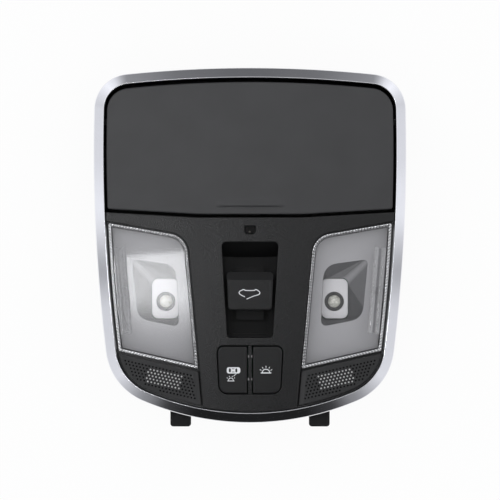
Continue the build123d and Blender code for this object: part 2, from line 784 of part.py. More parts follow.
# Felt pad on the tray's floor
with BuildSketch() as liner_shape:
    with Locations((0, (LIP_Y + tray_top - TRAY_SHELF) / 2)):
        RectangleRounded(
            2 * (tray_inside - LINER_MARGIN),
            tray_top - TRAY_SHELF - LIP_Y - 2 * (TRAY_WALL + LINER_MARGIN / 2),
            TRAY_EDGE_R,
        )
liner_top = FACE_Z - SKIN - TRAY_WALL - 2 * SEAT_GAP
liner_slab = crowned_slab(liner_shape.sketch, liner_top - LINER_THICKNESS, liner_top)
with BuildPart() as tray_liner:
    add(liner_slab)

# Rotary damper on the left wall: fluid body with a flange, and its gear on a short shaft
gear_x = -TRAY_HALF - SECTOR_WIDTH
damper_x = gear_x - EAR_GAP
damper_wall_x = -(HALF_WIDTH - HOUSING_INSET - WALL) + FRAME_GAP
gear_plane = Plane(origin=(gear_x, GEAR_Y, GEAR_Z), x_dir=(0, 1, 0), z_dir=(1, 0, 0))
pinion_tooth = gear_tooth(GEAR_R)
with BuildPart() as damper_body:
    with BuildSketch(gear_plane.offset(damper_wall_x - gear_x)):
        Circle(DAMPER_R)
    extrude(amount=damper_x - damper_wall_x)
    with BuildSketch(gear_plane.offset(damper_wall_x - gear_x)):
        SlotOverall(DAMPER_FLANGE_LENGTH, DAMPER_FLANGE_WIDTH)
    extrude(amount=DAMPER_FLANGE)
    with BuildSketch(gear_plane.offset(damper_x - gear_x)):
        Circle(DAMPER_SHAFT_R + RUNNING_FIT)
    extrude(amount=-DAMPER_R, mode=Mode.SUBTRACT)

with BuildPart() as damper_gear:
    with BuildSketch(gear_plane):
        Circle(GEAR_R - DEDENDUM)
        with PolarLocations(0, GEAR_TEETH, GEAR_DIRECTION + 180 + 180 / GEAR_TEETH):
            add(pinion_tooth)
    extrude(amount=SECTOR_WIDTH - GEAR_SIDE_GAP)
    with BuildSketch(gear_plane):
        Circle(DAMPER_SHAFT_R)
    extrude(amount=damper_x - gear_x - DAMPER_R + GEAR_SIDE_GAP)

# Push latch on the pocket's floor: case, and a forked plunger that takes the striker
latch_top = WALL + SEAT_GAP + LATCH_HEIGHT
latch_y = LIP_Y + TRAY_WALL / 2
plunger_top = latch_top + PLUNGER_REACH
with BuildPart() as latch_case:
    with BuildSketch(Plane.XY.offset(WALL + SEAT_GAP)):
        with Locations((0, latch_y)):
            RectangleRounded(LATCH_WIDTH, LATCH_LENGTH, LATCH_WALL / 2)
    extrude(amount=LATCH_HEIGHT)
    with BuildSketch(Plane.XY.offset(latch_top)):
        with Locations((0, latch_y)):
            Rectangle(PLUNGER_WIDTH + 2 * SLIDE_FIT, PLUNGER_LENGTH + 2 * SLIDE_FIT)
    extrude(amount=-(PLUNGER_DEPTH + LATCH_TRAVEL + EAR_GAP), mode=Mode.SUBTRACT)

with BuildPart() as latch_plunger:
    with BuildSketch(Plane.XY.offset(latch_top - PLUNGER_DEPTH)):
        with Locations((0, latch_y)):
            Rectangle(PLUNGER_WIDTH, PLUNGER_LENGTH)
    extrude(amount=PLUNGER_DEPTH + PLUNGER_REACH)
    with BuildSketch(Plane.XY.offset(plunger_top)):
        with Locations((0, latch_y)):
            Rectangle(STRIKER + 2 * STRIKER_GAP, PLUNGER_LENGTH)
    extrude(amount=-FORK_DEPTH, mode=Mode.SUBTRACT)

# Right lens hinge: a rod on two tabs, held by lugs under the panel's edge
hinge_edge_x = CORNER_X - (CORNER_Y - LENS_HINGE_Y) * corner_slope
lens_axis_z = FACE_Z - LENS_AXIS_DROP
edge_direction = (sin(radians(CORNER_LEAN)), cos(radians(CORNER_LEAN)), 0)
lens_plane = Plane(origin=(hinge_edge_x, LENS_HINGE_Y, lens_axis_z), x_dir=edge_direction, z_dir=(0, 0, 1))
lens_axis_point = lens_plane.from_local_coords((0, LENS_AXIS_INSET, 0))
lens_axis_plane = Plane(origin=lens_axis_point, x_dir=(0, 0, 1), z_dir=edge_direction)
tab_reach = CORNER_GAP + LENS_SKIRT / 2
tab_points = [(s * LENS_TAB_PITCH / 2, (LENS_AXIS_INSET - tab_reach) / 2) for s in (-1, 1)]
lug_points = [(s * (LENS_ROD_LENGTH - LUG_LENGTH) / 2, LENS_AXIS_INSET) for s in (-1, 1)]
tab_depth = LENS_AXIS_INSET + tab_reach

with BuildPart() as lens_lugs:
    with BuildSketch(lens_plane.offset(-LUG_DROP)):
        with Locations(*lug_points):
            Rectangle(LUG_LENGTH, LUG_WIDTH)
    extrude(amount=LUG_DROP + LENS_AXIS_DROP - SKIN / 2)

with BuildPart() as lens_hinge_cuts:
    with BuildSketch(lens_plane.offset(-LENS_TAB_HALF_HEIGHT - LENS_TAB_CLEAR)):
        with Locations(*tab_points):
            Rectangle(LENS_TAB_LENGTH + 2 * LENS_TAB_CLEAR, tab_depth + 2 * LENS_TAB_CLEAR)
    extrude(amount=2 * (LENS_TAB_HALF_HEIGHT + LENS_TAB_CLEAR))
    with BuildSketch(lens_axis_plane):
        Circle(LENS_ROD_R + RUNNING_FIT)
    extrude(amount=LENS_ROD_LENGTH, both=True)

# Front panel: crowned skin on walls, with a frame under the bezel and the lenses
pocket_shape = rounded_trapezoid(
    POCKET_TOP_Y, POCKET_BOTTOM_Y, POCKET_TOP_WIDTH, POCKET_BOTTOM_WIDTH, POCKET_TOP_R, POCKET_BOTTOM_R
)
button_shape = rounded_trapezoid(
    BUTTON_TOP_Y, BUTTON_BOTTOM_Y, BUTTON_TOP_WIDTH, BUTTON_BOTTOM_WIDTH, BUTTON_TOP_R, BUTTON_BOTTOM_R
)
collar_shape = grown(button_shape, COLLAR)
mood_shape = rounded_trapezoid(
    MOOD_Y + MOOD_HEIGHT / 2, MOOD_Y - MOOD_HEIGHT / 2, MOOD_WIDTH, MOOD_WIDTH, MOOD_TOP_R, MOOD_BOTTOM_R
)
panel_skin = crowned_slab(panel_shape.sketch, FACE_Z - SKIN, FACE_Z)
panel_wall = crowned_slab(panel_wall_shape.sketch, FRAME_BACK_Z, FACE_Z - SKIN)
panel_frame = crowned_slab(frame_shape.sketch, FRAME_BACK_Z, RIM_Z)
with BuildPart() as front_panel:
    add(panel_skin)
    fillet(front_panel.faces().sort_by(Axis.Z)[-1].edges(), PANEL_EDGE_R)
    add(panel_wall)
    add(panel_frame)
    add(lens_lugs.part)
    mirror(lens_lugs.part, about=Plane.YZ)
    add(lens_hinge_cuts.part, mode=Mode.SUBTRACT)
    mirror(lens_hinge_cuts.part, about=Plane.YZ, mode=Mode.SUBTRACT)
    # Collar round the buttons
    with BuildSketch(Plane.XY.offset(FACE_Z - SKIN / 2)):
        add(collar_shape)
    extrude(amount=-COLLAR_DEPTH)
    # Screw bosses that stand on the housing's floor
    with BuildSketch(Plane.XY.offset(LAMP_FLOOR_Z + SEAT_GAP)):
        with Locations(*PANEL_BOSSES):
            Circle(PANEL_BOSS_R)
    extrude(amount=FACE_Z - SKIN / 2 - LAMP_FLOOR_Z)
    with BuildSketch(Plane.XY.offset(LAMP_FLOOR_Z)):
        with Locations(*PANEL_BOSSES):
            Circle(SCREW_R + RUNNING_FIT)
    extrude(amount=SCREW_GRIP + SCREW_PLAY, mode=Mode.SUBTRACT)
    # Openings in the face
    with BuildSketch(Plane.XY.offset(RIM_Z - COLLAR_DEPTH)):
        add(pocket_shape)
        add(button_shape)
        add(mood_shape)
    extrude(amount=FACE_Z, mode=Mode.SUBTRACT)
    for opening in front_panel.faces().sort_by(Axis.Z)[-1].inner_wires():
        fillet(opening.edges(), OPENING_EDGE_R)
    # Bar between the two buttons
    with BuildSketch(Plane.XY.offset(FACE_Z - SKIN / 2 - COLLAR_DEPTH)):
        with Locations((0, (BUTTON_TOP_Y + BUTTON_BOTTOM_Y) / 2)):
            Rectangle(DIVIDER_BAR, BUTTON_TOP_Y - BUTTON_BOTTOM_Y + COLLAR)
    extrude(amount=COLLAR_DEPTH + SKIN / 2 - DIVIDER_BAR_DROP)

# Right lens: crowned skin with a skirt, press ribs, hinge rod and switch stem
lens_inside = grown(lens_shape.sketch, -LENS_SKIRT)
lens_slab = crowned_slab(lens_shape.sketch, FACE_Z - LENS_DEPTH, FACE_Z)
lens_hollow = crowned_slab(lens_inside, FACE_Z - LENS_DEPTH - LENS_SKIN, FACE_Z - LENS_SKIN)
with BuildSketch() as press_rib_shape:
    with Locations(Location((PRESS_RIB_X, PRESS_RIB_Y), 90 - PRESS_RIB_LEAN)):
        with GridLocations(1, PRESS_RIB_PITCH, 1, PRESS_RIBS):
            SlotOverall(PRESS_RIB_LENGTH, PRESS_RIB_WIDTH)
with BuildSketch() as groove_shape:
    add(grown(lens_shape.sketch, -LENS_BORDER))
    add(grown(lens_shape.sketch, -LENS_BORDER - LENS_GROOVE), mode=Mode.SUBTRACT)
lens_groove = crowned_slab(groove_shape.sketch, FACE_Z - LENS_GROOVE, FACE_Z + LENS_GROOVE)
press_ribs = crowned_slab(press_rib_shape.sketch, FACE_Z - LENS_SKIN / 2, FACE_Z + PRESS_RIB_PROUD)
map_dome_top = BOARD_TOP_Z + SWITCH_HEIGHT + DOME_HEIGHT
with BuildPart() as lens_right:
    add(lens_slab)
    fillet(lens_right.faces().sort_by(Axis.Z)[-1].edges(), LENS_TOP_R)
    add(lens_hollow, mode=Mode.SUBTRACT)
    add(lens_groove, mode=Mode.SUBTRACT)
    add(press_ribs)
    with BuildSketch(lens_plane.offset(-LENS_TAB_HALF_HEIGHT)):
        with Locations(*tab_points):
            Rectangle(LENS_TAB_LENGTH, tab_depth)
    extrude(amount=2 * LENS_TAB_HALF_HEIGHT)
    with BuildSketch(lens_axis_plane):
        Circle(LENS_ROD_R)
    extrude(amount=LENS_ROD_LENGTH / 2, both=True)
    with BuildSketch(Plane.XY.offset(map_dome_top + DOME_GAP)):
        with Locations((PRESS_RIB_X, PRESS_RIB_Y)):
            Circle(STEM_R)
    extrude(amount=FACE_Z - crown_drop(PRESS_RIB_X) - LENS_SKIN / 2 - map_dome_top - DOME_GAP)

with BuildPart() as lens_left:
    mirror(lens_right.part, about=Plane.YZ)

# Right reflector: tray under the lens with a recess for the emitter
reflector_shape = grown(lens_shape.sketch, -REFLECTOR_MARGIN)
recess_lean = (RECESS_TOP - RECESS_BOTTOM) * tan(radians(RECESS_LEAN))
recess_tilt = (RECESS_RIGHT - RECESS_LEFT) * tan(radians(RECESS_TILT))
recess_corners = (
    (RECESS_LEFT, RECESS_TOP - recess_tilt),
    (RECESS_RIGHT, RECESS_TOP),
    (RECESS_RIGHT - recess_lean, RECESS_BOTTOM + 2 * recess_tilt),
    (RECESS_LEFT, RECESS_BOTTOM),
)
with BuildSketch() as recess_shape:
    Polygon(*recess_corners, align=None)
    recess_radii = (RECESS_TOP_INNER_R, RECESS_TOP_OUTER_R, RECESS_BOTTOM_OUTER_R, RECESS_BOTTOM_INNER_R)
    for corner, radius in zip(recess_corners, recess_radii):
        fillet(recess_shape.vertices().sort_by_distance(corner)[0], radius)
with BuildSketch() as holder_shape:
    with Locations((LED_HOLDER_X, LED_HOLDER_Y)):
        RectangleRounded(LED_HOLDER_WIDTH, LED_HOLDER_LENGTH, LED_HOLDER_R)
holder_room = grown(holder_shape.sketch, LED_PLAY)
funnel_floor = LED_HOLDER_TOP_Z - LED_HOLDER_PROUD
with BuildPart() as funnel:
    with BuildSketch(Plane.XY.offset(funnel_floor)):
        add(holder_room)
    with BuildSketch(Plane.XY.offset(REFLECTOR_FRONT_Z)):
        add(recess_shape.sketch)
    loft(ruled=True)
with BuildPart() as bowl:
    with BuildSketch(Plane.XY.offset(funnel_floor - REFLECTOR_WALL)):
        add(grown(holder_room, REFLECTOR_WALL))
    with BuildSketch(Plane.XY.offset(REFLECTOR_FRONT_Z - REFLECTOR_WALL)):
        add(grown(recess_shape.sketch, REFLECTOR_WALL))
    loft(ruled=True)
reflector_plate = crowned_slab(reflector_shape, REFLECTOR_FRONT_Z - REFLECTOR_WALL, REFLECTOR_FRONT_Z)
with BuildPart() as reflector_right:
    add(bowl.part)
    add(reflector_plate)
    add(funnel.part, mode=Mode.SUBTRACT)
    with BuildSketch(Plane.XY.offset(funnel_floor - 2 * REFLECTOR_WALL)):
        add(holder_room)
        with Locations((PRESS_RIB_X, PRESS_RIB_Y)):
            Circle(STEM_R + STEM_HOLE_GAP)
    extrude(amount=REFLECTOR_FRONT_Z, mode=Mode.SUBTRACT)

with BuildPart() as reflector_left:
    mirror(reflector_right.part, about=Plane.YZ)

# Right emitter carrier on the circuit board, with a round well
well_floor = LED_HOLDER_TOP_Z - LED_WELL_DEPTH
with BuildPart() as led_holder_right:
    with BuildSketch(Plane.XY.offset(BOARD_TOP_Z + SEAT_GAP)):
        add(holder_shape.sketch)
    extrude(amount=LED_HOLDER_TOP_Z - BOARD_TOP_Z - SEAT_GAP)
    fillet(led_holder_right.faces().sort_by(Axis.Z)[-1].edges(), LED_HOLDER_EDGE_R)
    with BuildSketch(Plane.XY.offset(well_floor)):
        with Locations((LED_X, LED_Y)):
            Circle(LED_WELL_R)
    extrude(amount=LED_WELL_DEPTH, mode=Mode.SUBTRACT)

with BuildPart() as led_holder_left:
    mirror(led_holder_right.part, about=Plane.YZ)

# Right emitter: round base with a domed lens
led_plane = Plane(origin=(LED_X, LED_Y, well_floor + SEAT_GAP), x_dir=(1, 0, 0), z_dir=(0, -1, 0))
led_dome_r = (LED_LENS_R ** 2 + LED_LENS_HEIGHT ** 2) / (2 * LED_LENS_HEIGHT)
with BuildPart() as map_led_right:
    with BuildSketch(led_plane):
        with BuildLine():
            Polyline((0, 0), (LED_BASE_R, 0), (LED_BASE_R, LED_BASE_HEIGHT), (LED_LENS_R, LED_BASE_HEIGHT))
            RadiusArc((LED_LENS_R, LED_BASE_HEIGHT), (0, LED_BASE_HEIGHT + LED_LENS_HEIGHT), -led_dome_r)
            Line((0, LED_BASE_HEIGHT + LED_LENS_HEIGHT), (0, 0))
        make_face()
    revolve(axis=Axis((LED_X, LED_Y, 0), (0, 0, 1)))

with BuildPart() as map_led_left:
    mirror(map_led_right.part, about=Plane.YZ)

# Right corner grille: crowned plate with a skirt, a bevelled inner edge and staggered rows of holes
grille_inside = grown(grille_shape.sketch, -GRILLE_SKIRT)
grille_slab = crowned_slab(grille_shape.sketch, RIM_Z + SEAT_GAP, FACE_Z)
grille_hollow = crowned_slab(grille_inside, RIM_Z - GRILLE_SKIN, FACE_Z - GRILLE_SKIN)
grille_place = Location((GRILLE_X, GRILLE_Y), SEAM_RISE)
row_pitch = GRILLE_PITCH * sqrt(3)
half_step = Location((GRILLE_PITCH / 2, 0))


def staggered(columns, rows):
    """Places of staggered rows of dots on the grille."""
    even = GridLocations(GRILLE_PITCH, row_pitch, columns, rows)
    odd = GridLocations(GRILLE_PITCH, row_pitch, columns, rows - 1)
    return [grille_place * spot for spot in even] + [grille_place * half_step * spot for spot in odd]


def is_blind(spot):
    """Whether a dot lies in the field round the pierced block."""
    inside = dimple_room.is_inside(spot.position)
    return inside and all((spot.position - hole.position).length > GRILLE_PITCH / 2 for hole in pierced)


pierced = staggered(GRILLE_COLUMNS, GRILLE_ROWS)
with BuildSketch() as dimple_field:
    add(grown(grille_shape.sketch, -GRILLE_BORDER))
    add(grown(corner_opening, -GRILLE_BEVEL_RUN - GRILLE_BORDER / 2), mode=Mode.INTERSECT)
dimple_room = dimple_field.sketch.face()
with BuildSketch() as dimple_shape:
    with Locations(*[spot for spot in staggered(DIMPLE_COLUMNS, DIMPLE_ROWS) if is_blind(spot)]):
        RegularPolygon(DIMPLE_R, DIMPLE_SIDES)
dimples = crowned_slab(dimple_shape.sketch, FACE_Z - DIMPLE_DEPTH, FACE_Z + DIMPLE_DEPTH)
with BuildPart() as grille_right:
    add(grille_slab)
    grille_face = grille_right.faces().sort_by(Axis.Z)[-1]
    inner_edge = grille_face.edges().sort_by(Axis.X)[0]
    chamfer(inner_edge, GRILLE_BEVEL_RUN, GRILLE_BEVEL_FALL, reference=grille_face)
    add(grille_hollow, mode=Mode.SUBTRACT)
    add(dimples, mode=Mode.SUBTRACT)
    with BuildSketch(Plane.XY.offset(RIM_Z)):
        with Locations(*pierced):
            RegularPolygon(GRILLE_HOLE_R, GRILLE_HOLE_SIDES)
    extrude(amount=FACE_Z, mode=Mode.SUBTRACT)

with BuildPart() as grille_left:
    mirror(grille_right.part, about=Plane.YZ)

# Acoustic cloth and microphone capsule behind the right grille
with BuildSketch() as screen_shape:
    with Locations(grille_place):
        Rectangle(SCREEN_LENGTH, SCREEN_WIDTH)
screen_top = FACE_Z - GRILLE_SKIN - SEAT_GAP
screen_slab = crowned_slab(screen_shape.sketch, screen_top - SCREEN_THICKNESS, screen_top)
with BuildPart() as mic_screen_right:
    add(screen_slab)

with BuildPart() as mic_screen_left:
    mirror(mic_screen_right.part, about=Plane.YZ)

capsule_top = screen_top - SCREEN_THICKNESS - crown_drop(GRILLE_X + MICROPHONE_R) - SEAT_GAP
with BuildPart() as microphone_right:
    with BuildSketch(Plane.XY.offset(capsule_top - MICROPHONE_HEIGHT)):
        with Locations((GRILLE_X, GRILLE_Y)):
            Circle(MICROPHONE_R)
    extrude(amount=MICROPHONE_HEIGHT)

with BuildPart() as microphone_left:
    mirror(microphone_right.part, about=Plane.YZ)

# Sunroof switch: cup under the panel with a ramp and a slotted floor
cup_shape = grown(pocket_shape, CUP_WALL)
slot_top = POCKET_TOP_Y - CUP_RAMP
slot_bottom = POCKET_BOTTOM_Y + SLOT_END
with BuildPart() as sunroof_switch_cup:
    with BuildSketch(Plane.XY.offset(CUP_FLOOR_Z - CUP_WALL)):
        add(cup_shape)
    extrude(amount=FACE_Z - CUP_FLOOR_Z)
    add(below_door, mode=Mode.INTERSECT)
    with BuildSketch(Plane.XY.offset(CUP_FLOOR_Z)):
        add(pocket_shape)
    extrude(amount=FACE_Z, mode=Mode.SUBTRACT)
    with BuildSketch(Plane.YZ):
        Polygon(
            (POCKET_TOP_Y, FACE_Z - SKIN - SEAT_GAP),
            (POCKET_TOP_Y, CUP_FLOOR_Z),
            (slot_top, CUP_FLOOR_Z),
            align=None,
        )
    extrude(amount=POCKET_TOP_WIDTH / 2, both=True)
    add(below_door, mode=Mode.INTERSECT)
    with BuildSketch(Plane.XY.offset(CUP_FLOOR_Z - CUP_WALL)):
        with Locations((0, (slot_top + slot_bottom) / 2)):
            Rectangle(SLOT_WIDTH, slot_top - slot_bottom)
    extrude(amount=CUP_WALL, mode=Mode.SUBTRACT)

# Slider that carries the knob, on rails of the contact block
base_top = BOARD_TOP_Z + SEAT_GAP + SWITCH_BASE_HEIGHT
carriage_y = (CARRIAGE_TOP_Y + CARRIAGE_BOTTOM_Y) / 2
carriage_length = CARRIAGE_TOP_Y - CARRIAGE_BOTTOM_Y
carriage_top = KNOB_BACK_Z - SUNROOF_PRESS - SLIDE_FIT
foot_width = CARRIAGE_WIDTH + 2 * CARRIAGE_FOOT_MARGIN
with BuildPart() as sunroof_carriage:
    with BuildSketch(Plane.XY.offset(base_top + SLIDE_FIT)):
        with Locations((0, carriage_y)):
            Rectangle(foot_width, carriage_length)
    extrude(amount=CARRIAGE_FOOT)
    with BuildSketch(Plane.XY.offset(base_top + SLIDE_FIT)):
        with Locations((0, carriage_y)):
            RectangleRounded(CARRIAGE_WIDTH, carriage_length, KNOB_EDGE_R)
    extrude(amount=carriage_top - base_top - SLIDE_FIT)
    # Shield that keeps the slot covered over the whole travel
    shield_length = slot_top - slot_bottom + 2 * (SUNROOF_SLIDE + SHIELD_MARGIN)
    with BuildSketch(Plane.XY.offset(CUP_FLOOR_Z - CUP_WALL - SHIELD_GAP)):
        with Locations((0, (slot_top + slot_bottom) / 2)):
            Rectangle(SLOT_WIDTH + 2 * SHIELD_MARGIN, shield_length)
    extrude(amount=-SHIELD_THICKNESS)
    with BuildSketch(Plane.XY.offset(carriage_top)):
        with Locations((0, KNOB_Y)):
            Rectangle(KNOB_STEM_WIDTH + 2 * SLIDE_FIT, KNOB_STEM_LENGTH + 2 * SLIDE_FIT)
    extrude(amount=-(KNOB_STEM_DEPTH + SUNROOF_PRESS), mode=Mode.SUBTRACT)

with BuildPart() as sunroof_switch_base:
    with BuildSketch(Plane.XY.offset(BOARD_TOP_Z + SEAT_GAP)):
        with Locations((0, carriage_y)):
            Rectangle(foot_width + 2 * (SWITCH_RAIL + SLIDE_FIT), carriage_length + 4 * SUNROOF_SLIDE)
    extrude(amount=SWITCH_BASE_HEIGHT + CARRIAGE_FOOT + SLIDE_FIT)
    with BuildSketch(Plane.XY.offset(base_top)):
        with Locations((0, carriage_y)):
            Rectangle(foot_width + 2 * SLIDE_FIT, carriage_length + 4 * SUNROOF_SLIDE)
    extrude(amount=FACE_Z, mode=Mode.SUBTRACT)

# Knob: tapered block with a sloped upper end and a stem in the slider
knob_shape = rounded_trapezoid(
    KNOB_Y + KNOB_LENGTH / 2,
    KNOB_Y - KNOB_LENGTH / 2,
    KNOB_TOP_WIDTH,
    KNOB_BOTTOM_WIDTH,
    KNOB_CORNER_R,
    KNOB_CORNER_R,
)
with BuildPart() as sunroof_knob:
    with BuildSketch(Plane.XY.offset(KNOB_BACK_Z)):
        add(knob_shape)
    extrude(amount=FACE_Z + KNOB_PROUD - KNOB_BACK_Z)
    knob_face = sunroof_knob.faces().sort_by(Axis.Z)[-1]
    fillet(knob_face.edges(), KNOB_EDGE_R)
    with BuildSketch(Plane.YZ):
        Polygon(
            (KNOB_Y + KNOB_LENGTH / 2, FACE_Z + KNOB_PROUD - KNOB_CHAMFER_FALL),
            (KNOB_Y + KNOB_LENGTH / 2, FACE_Z + 2 * KNOB_PROUD),
            (KNOB_Y + KNOB_LENGTH / 2 - KNOB_CHAMFER_RUN, FACE_Z + KNOB_PROUD),
            align=None,
        )
    extrude(amount=KNOB_TOP_WIDTH, both=True, mode=Mode.SUBTRACT)
    with BuildSketch(Plane.XY.offset(KNOB_BACK_Z - KNOB_STEM_DEPTH)):
        with Locations((0, KNOB_Y)):
            Rectangle(KNOB_STEM_WIDTH, KNOB_STEM_LENGTH)
    extrude(amount=KNOB_STEM_DEPTH + KNOB_EDGE_R)

# Lamp buttons: two caps that share one opening, each with a post on a silicone dome
caps_shape = grown(button_shape, -BUTTON_GAP)
with BuildSketch() as room_button_shape:
    add(caps_shape)
    with Locations((BUTTON_TOP_WIDTH / 2 + BUTTON_SPLIT / 2, (BUTTON_TOP_Y + BUTTON_BOTTOM_Y) / 2)):
        Rectangle(BUTTON_TOP_WIDTH, 2 * BUTTON_TOP_WIDTH, mode=Mode.INTERSECT)
    fillet(room_button_shape.vertices().sort_by(Axis.X)[:2], BUTTON_INNER_R)
cap_inside = grown(room_button_shape.sketch, -BUTTON_SHELL)
button_top = FACE_Z + BUTTON_PROUD
button_back = button_top - BUTTON_HEIGHT
button_x = (BUTTON_TOP_WIDTH + BUTTON_BOTTOM_WIDTH + 2 * BUTTON_SPLIT) / 8
button_y = (BUTTON_TOP_Y + BUTTON_BOTTOM_Y) / 2
button_dome_top = BOARD_TOP_Z + SEAT_GAP + DOME_HEIGHT
with BuildPart() as room_lamp_button:
    with BuildSketch(Plane.XY.offset(button_back)):
        add(room_button_shape.sketch)
    extrude(amount=BUTTON_HEIGHT)
    fillet(room_lamp_button.faces().sort_by(Axis.Z)[-1].edges(), BUTTON_EDGE_R)
    with BuildSketch(Plane.XY.offset(button_back)):
        add(cap_inside)
    extrude(amount=BUTTON_HEIGHT - BUTTON_SHELL, mode=Mode.SUBTRACT)
    with BuildSketch(Plane.XY.offset(button_dome_top + DOME_GAP)):
        with Locations((button_x, button_y)):
            Circle(BUTTON_POST_R)
    extrude(amount=button_top - BUTTON_SHELL / 2 - button_dome_top - DOME_GAP)

with BuildPart() as door_lamp_button:
    mirror(room_lamp_button.part, about=Plane.YZ)


def silicone_dome(x, y, foot_z):
    """A switch dome: flat foot with a narrowing crown."""
    dome_plane = Plane(origin=(x, y, foot_z), x_dir=(1, 0, 0), z_dir=(0, -1, 0))
    with BuildPart() as dome:
        with BuildSketch(dome_plane):
            Polygon(
                (0, 0),
                (DOME_R, 0),
                (DOME_R, DOME_FOOT),
                (DOME_TOP_R, DOME_HEIGHT - DOME_FOOT),
                (DOME_TOP_R, DOME_HEIGHT),
                (0, DOME_HEIGHT),
                align=None,
            )
        revolve(axis=Axis((x, y, 0), (0, 0, 1)))
    return dome


room_lamp_dome = silicone_dome(button_x, button_y, BOARD_TOP_Z + SEAT_GAP)
door_lamp_dome = silicone_dome(-button_x, button_y, BOARD_TOP_Z + SEAT_GAP)
map_dome_right = silicone_dome(PRESS_RIB_X, PRESS_RIB_Y, BOARD_TOP_Z + SWITCH_HEIGHT)
map_dome_left = silicone_dome(-PRESS_RIB_X, PRESS_RIB_Y, BOARD_TOP_Z + SWITCH_HEIGHT)

# Switch bases under the lens stems
with BuildPart() as map_switch_right:
    with BuildSketch(Plane.XY.offset(BOARD_TOP_Z + SEAT_GAP)):
        with Locations((PRESS_RIB_X, PRESS_RIB_Y)):
            RectangleRounded(SWITCH_SIZE, SWITCH_SIZE, SWITCH_HEIGHT)
    extrude(amount=SWITCH_HEIGHT - 2 * SEAT_GAP)

with BuildPart() as map_switch_left:
    mirror(map_switch_right.part, about=Plane.YZ)

# Mood lamp: emitter on the board and a light guide in the panel's window
guide_shape = grown(mood_shape, -MOOD_GAP)
mood_led_top = BOARD_TOP_Z + SEAT_GAP + MOOD_LED_HEIGHT
with BuildPart() as mood_led:
    with BuildSketch(Plane.XY.offset(BOARD_TOP_Z + SEAT_GAP)):
        with Locations((0, MOOD_Y)):
            Rectangle(MOOD_LED_SIZE, MOOD_LED_SIZE)
    extrude(amount=MOOD_LED_HEIGHT)

with BuildPart() as mood_lamp_guide:
    with BuildSketch(Plane.XY.offset(mood_led_top + MOOD_GAP)):
        add(guide_shape)
    extrude(amount=FACE_Z - MOOD_SUNK - mood_led_top - MOOD_GAP)

# Circuit board on the housing's bosses
with BuildPart() as circuit_board:
    with BuildSketch(Plane.XY.offset(BOARD_Z)):
        add(board_edge)
        add(board_end, mode=Mode.INTERSECT)
        with Locations(*PANEL_BOSSES):
            Circle(PANEL_BOSS_R + SCREW_PLAY, mode=Mode.SUBTRACT)
        with Locations(*STANDOFFS):
            Circle(SCREW_R + SCREW_PLAY, mode=Mode.SUBTRACT)
    extrude(amount=BOARD_THICKNESS)


def screw_set(points, seat_z, direction, grip):
    """Pan-head screws that point along Z, all in one group."""
    with BuildPart() as screws:
        for length, radius in ((SCREW_HEAD * -direction, SCREW_HEAD_R), (grip * direction, SCREW_R)):
            with BuildSketch(Plane.XY.offset(seat_z)):
                with Locations(*points):
                    Circle(radius)
            extrude(amount=length)
        head_end = 0 if direction > 0 else -1
        head_edges = screws.edges().filter_by(GeomType.CIRCLE).group_by(Axis.Z)[head_end]
        fillet(head_edges, SCREW_HEAD / 2)
    return screws


panel_screws = screw_set(PANEL_BOSSES, LAMP_BACK_Z - SEAT_GAP, 1, WALL + SCREW_GRIP)
board_screws = screw_set(STANDOFFS, BOARD_TOP_Z + SEAT_GAP, -1, BOARD_THICKNESS + BOARD_SCREW_GRIP)

# Harness socket on the back of the board, open to the back, with two rows of pins
socket_back = LAMP_BACK_Z - CONNECTOR_REACH
with BuildPart() as harness_connector:
    with BuildSketch(Plane.XY.offset(socket_back)):
        with Locations((CONNECTOR_X, CONNECTOR_Y)):
            RectangleRounded(CONNECTOR_LENGTH, CONNECTOR_WIDTH, CONNECTOR_WALL / 2)
    extrude(amount=BOARD_Z - SEAT_GAP - socket_back)
    with BuildSketch(Plane.XY.offset(socket_back)):
        with Locations((CONNECTOR_X, CONNECTOR_Y)):
            Rectangle(CONNECTOR_LENGTH - 2 * CONNECTOR_WALL, CONNECTOR_WIDTH - 2 * CONNECTOR_WALL)
    extrude(amount=BOARD_Z - CONNECTOR_FLOOR - socket_back, mode=Mode.SUBTRACT)

with BuildPart() as connector_pins:
    with BuildSketch(Plane.XY.offset(BOARD_Z - CONNECTOR_FLOOR - SEAT_GAP)):
        with Locations((CONNECTOR_X, CONNECTOR_Y)):
            with GridLocations(PIN_PITCH, PIN_PITCH, PIN_COLUMNS, PIN_ROWS):
                Rectangle(PIN_SIZE, PIN_SIZE)
    extrude(amount=-PIN_LENGTH)

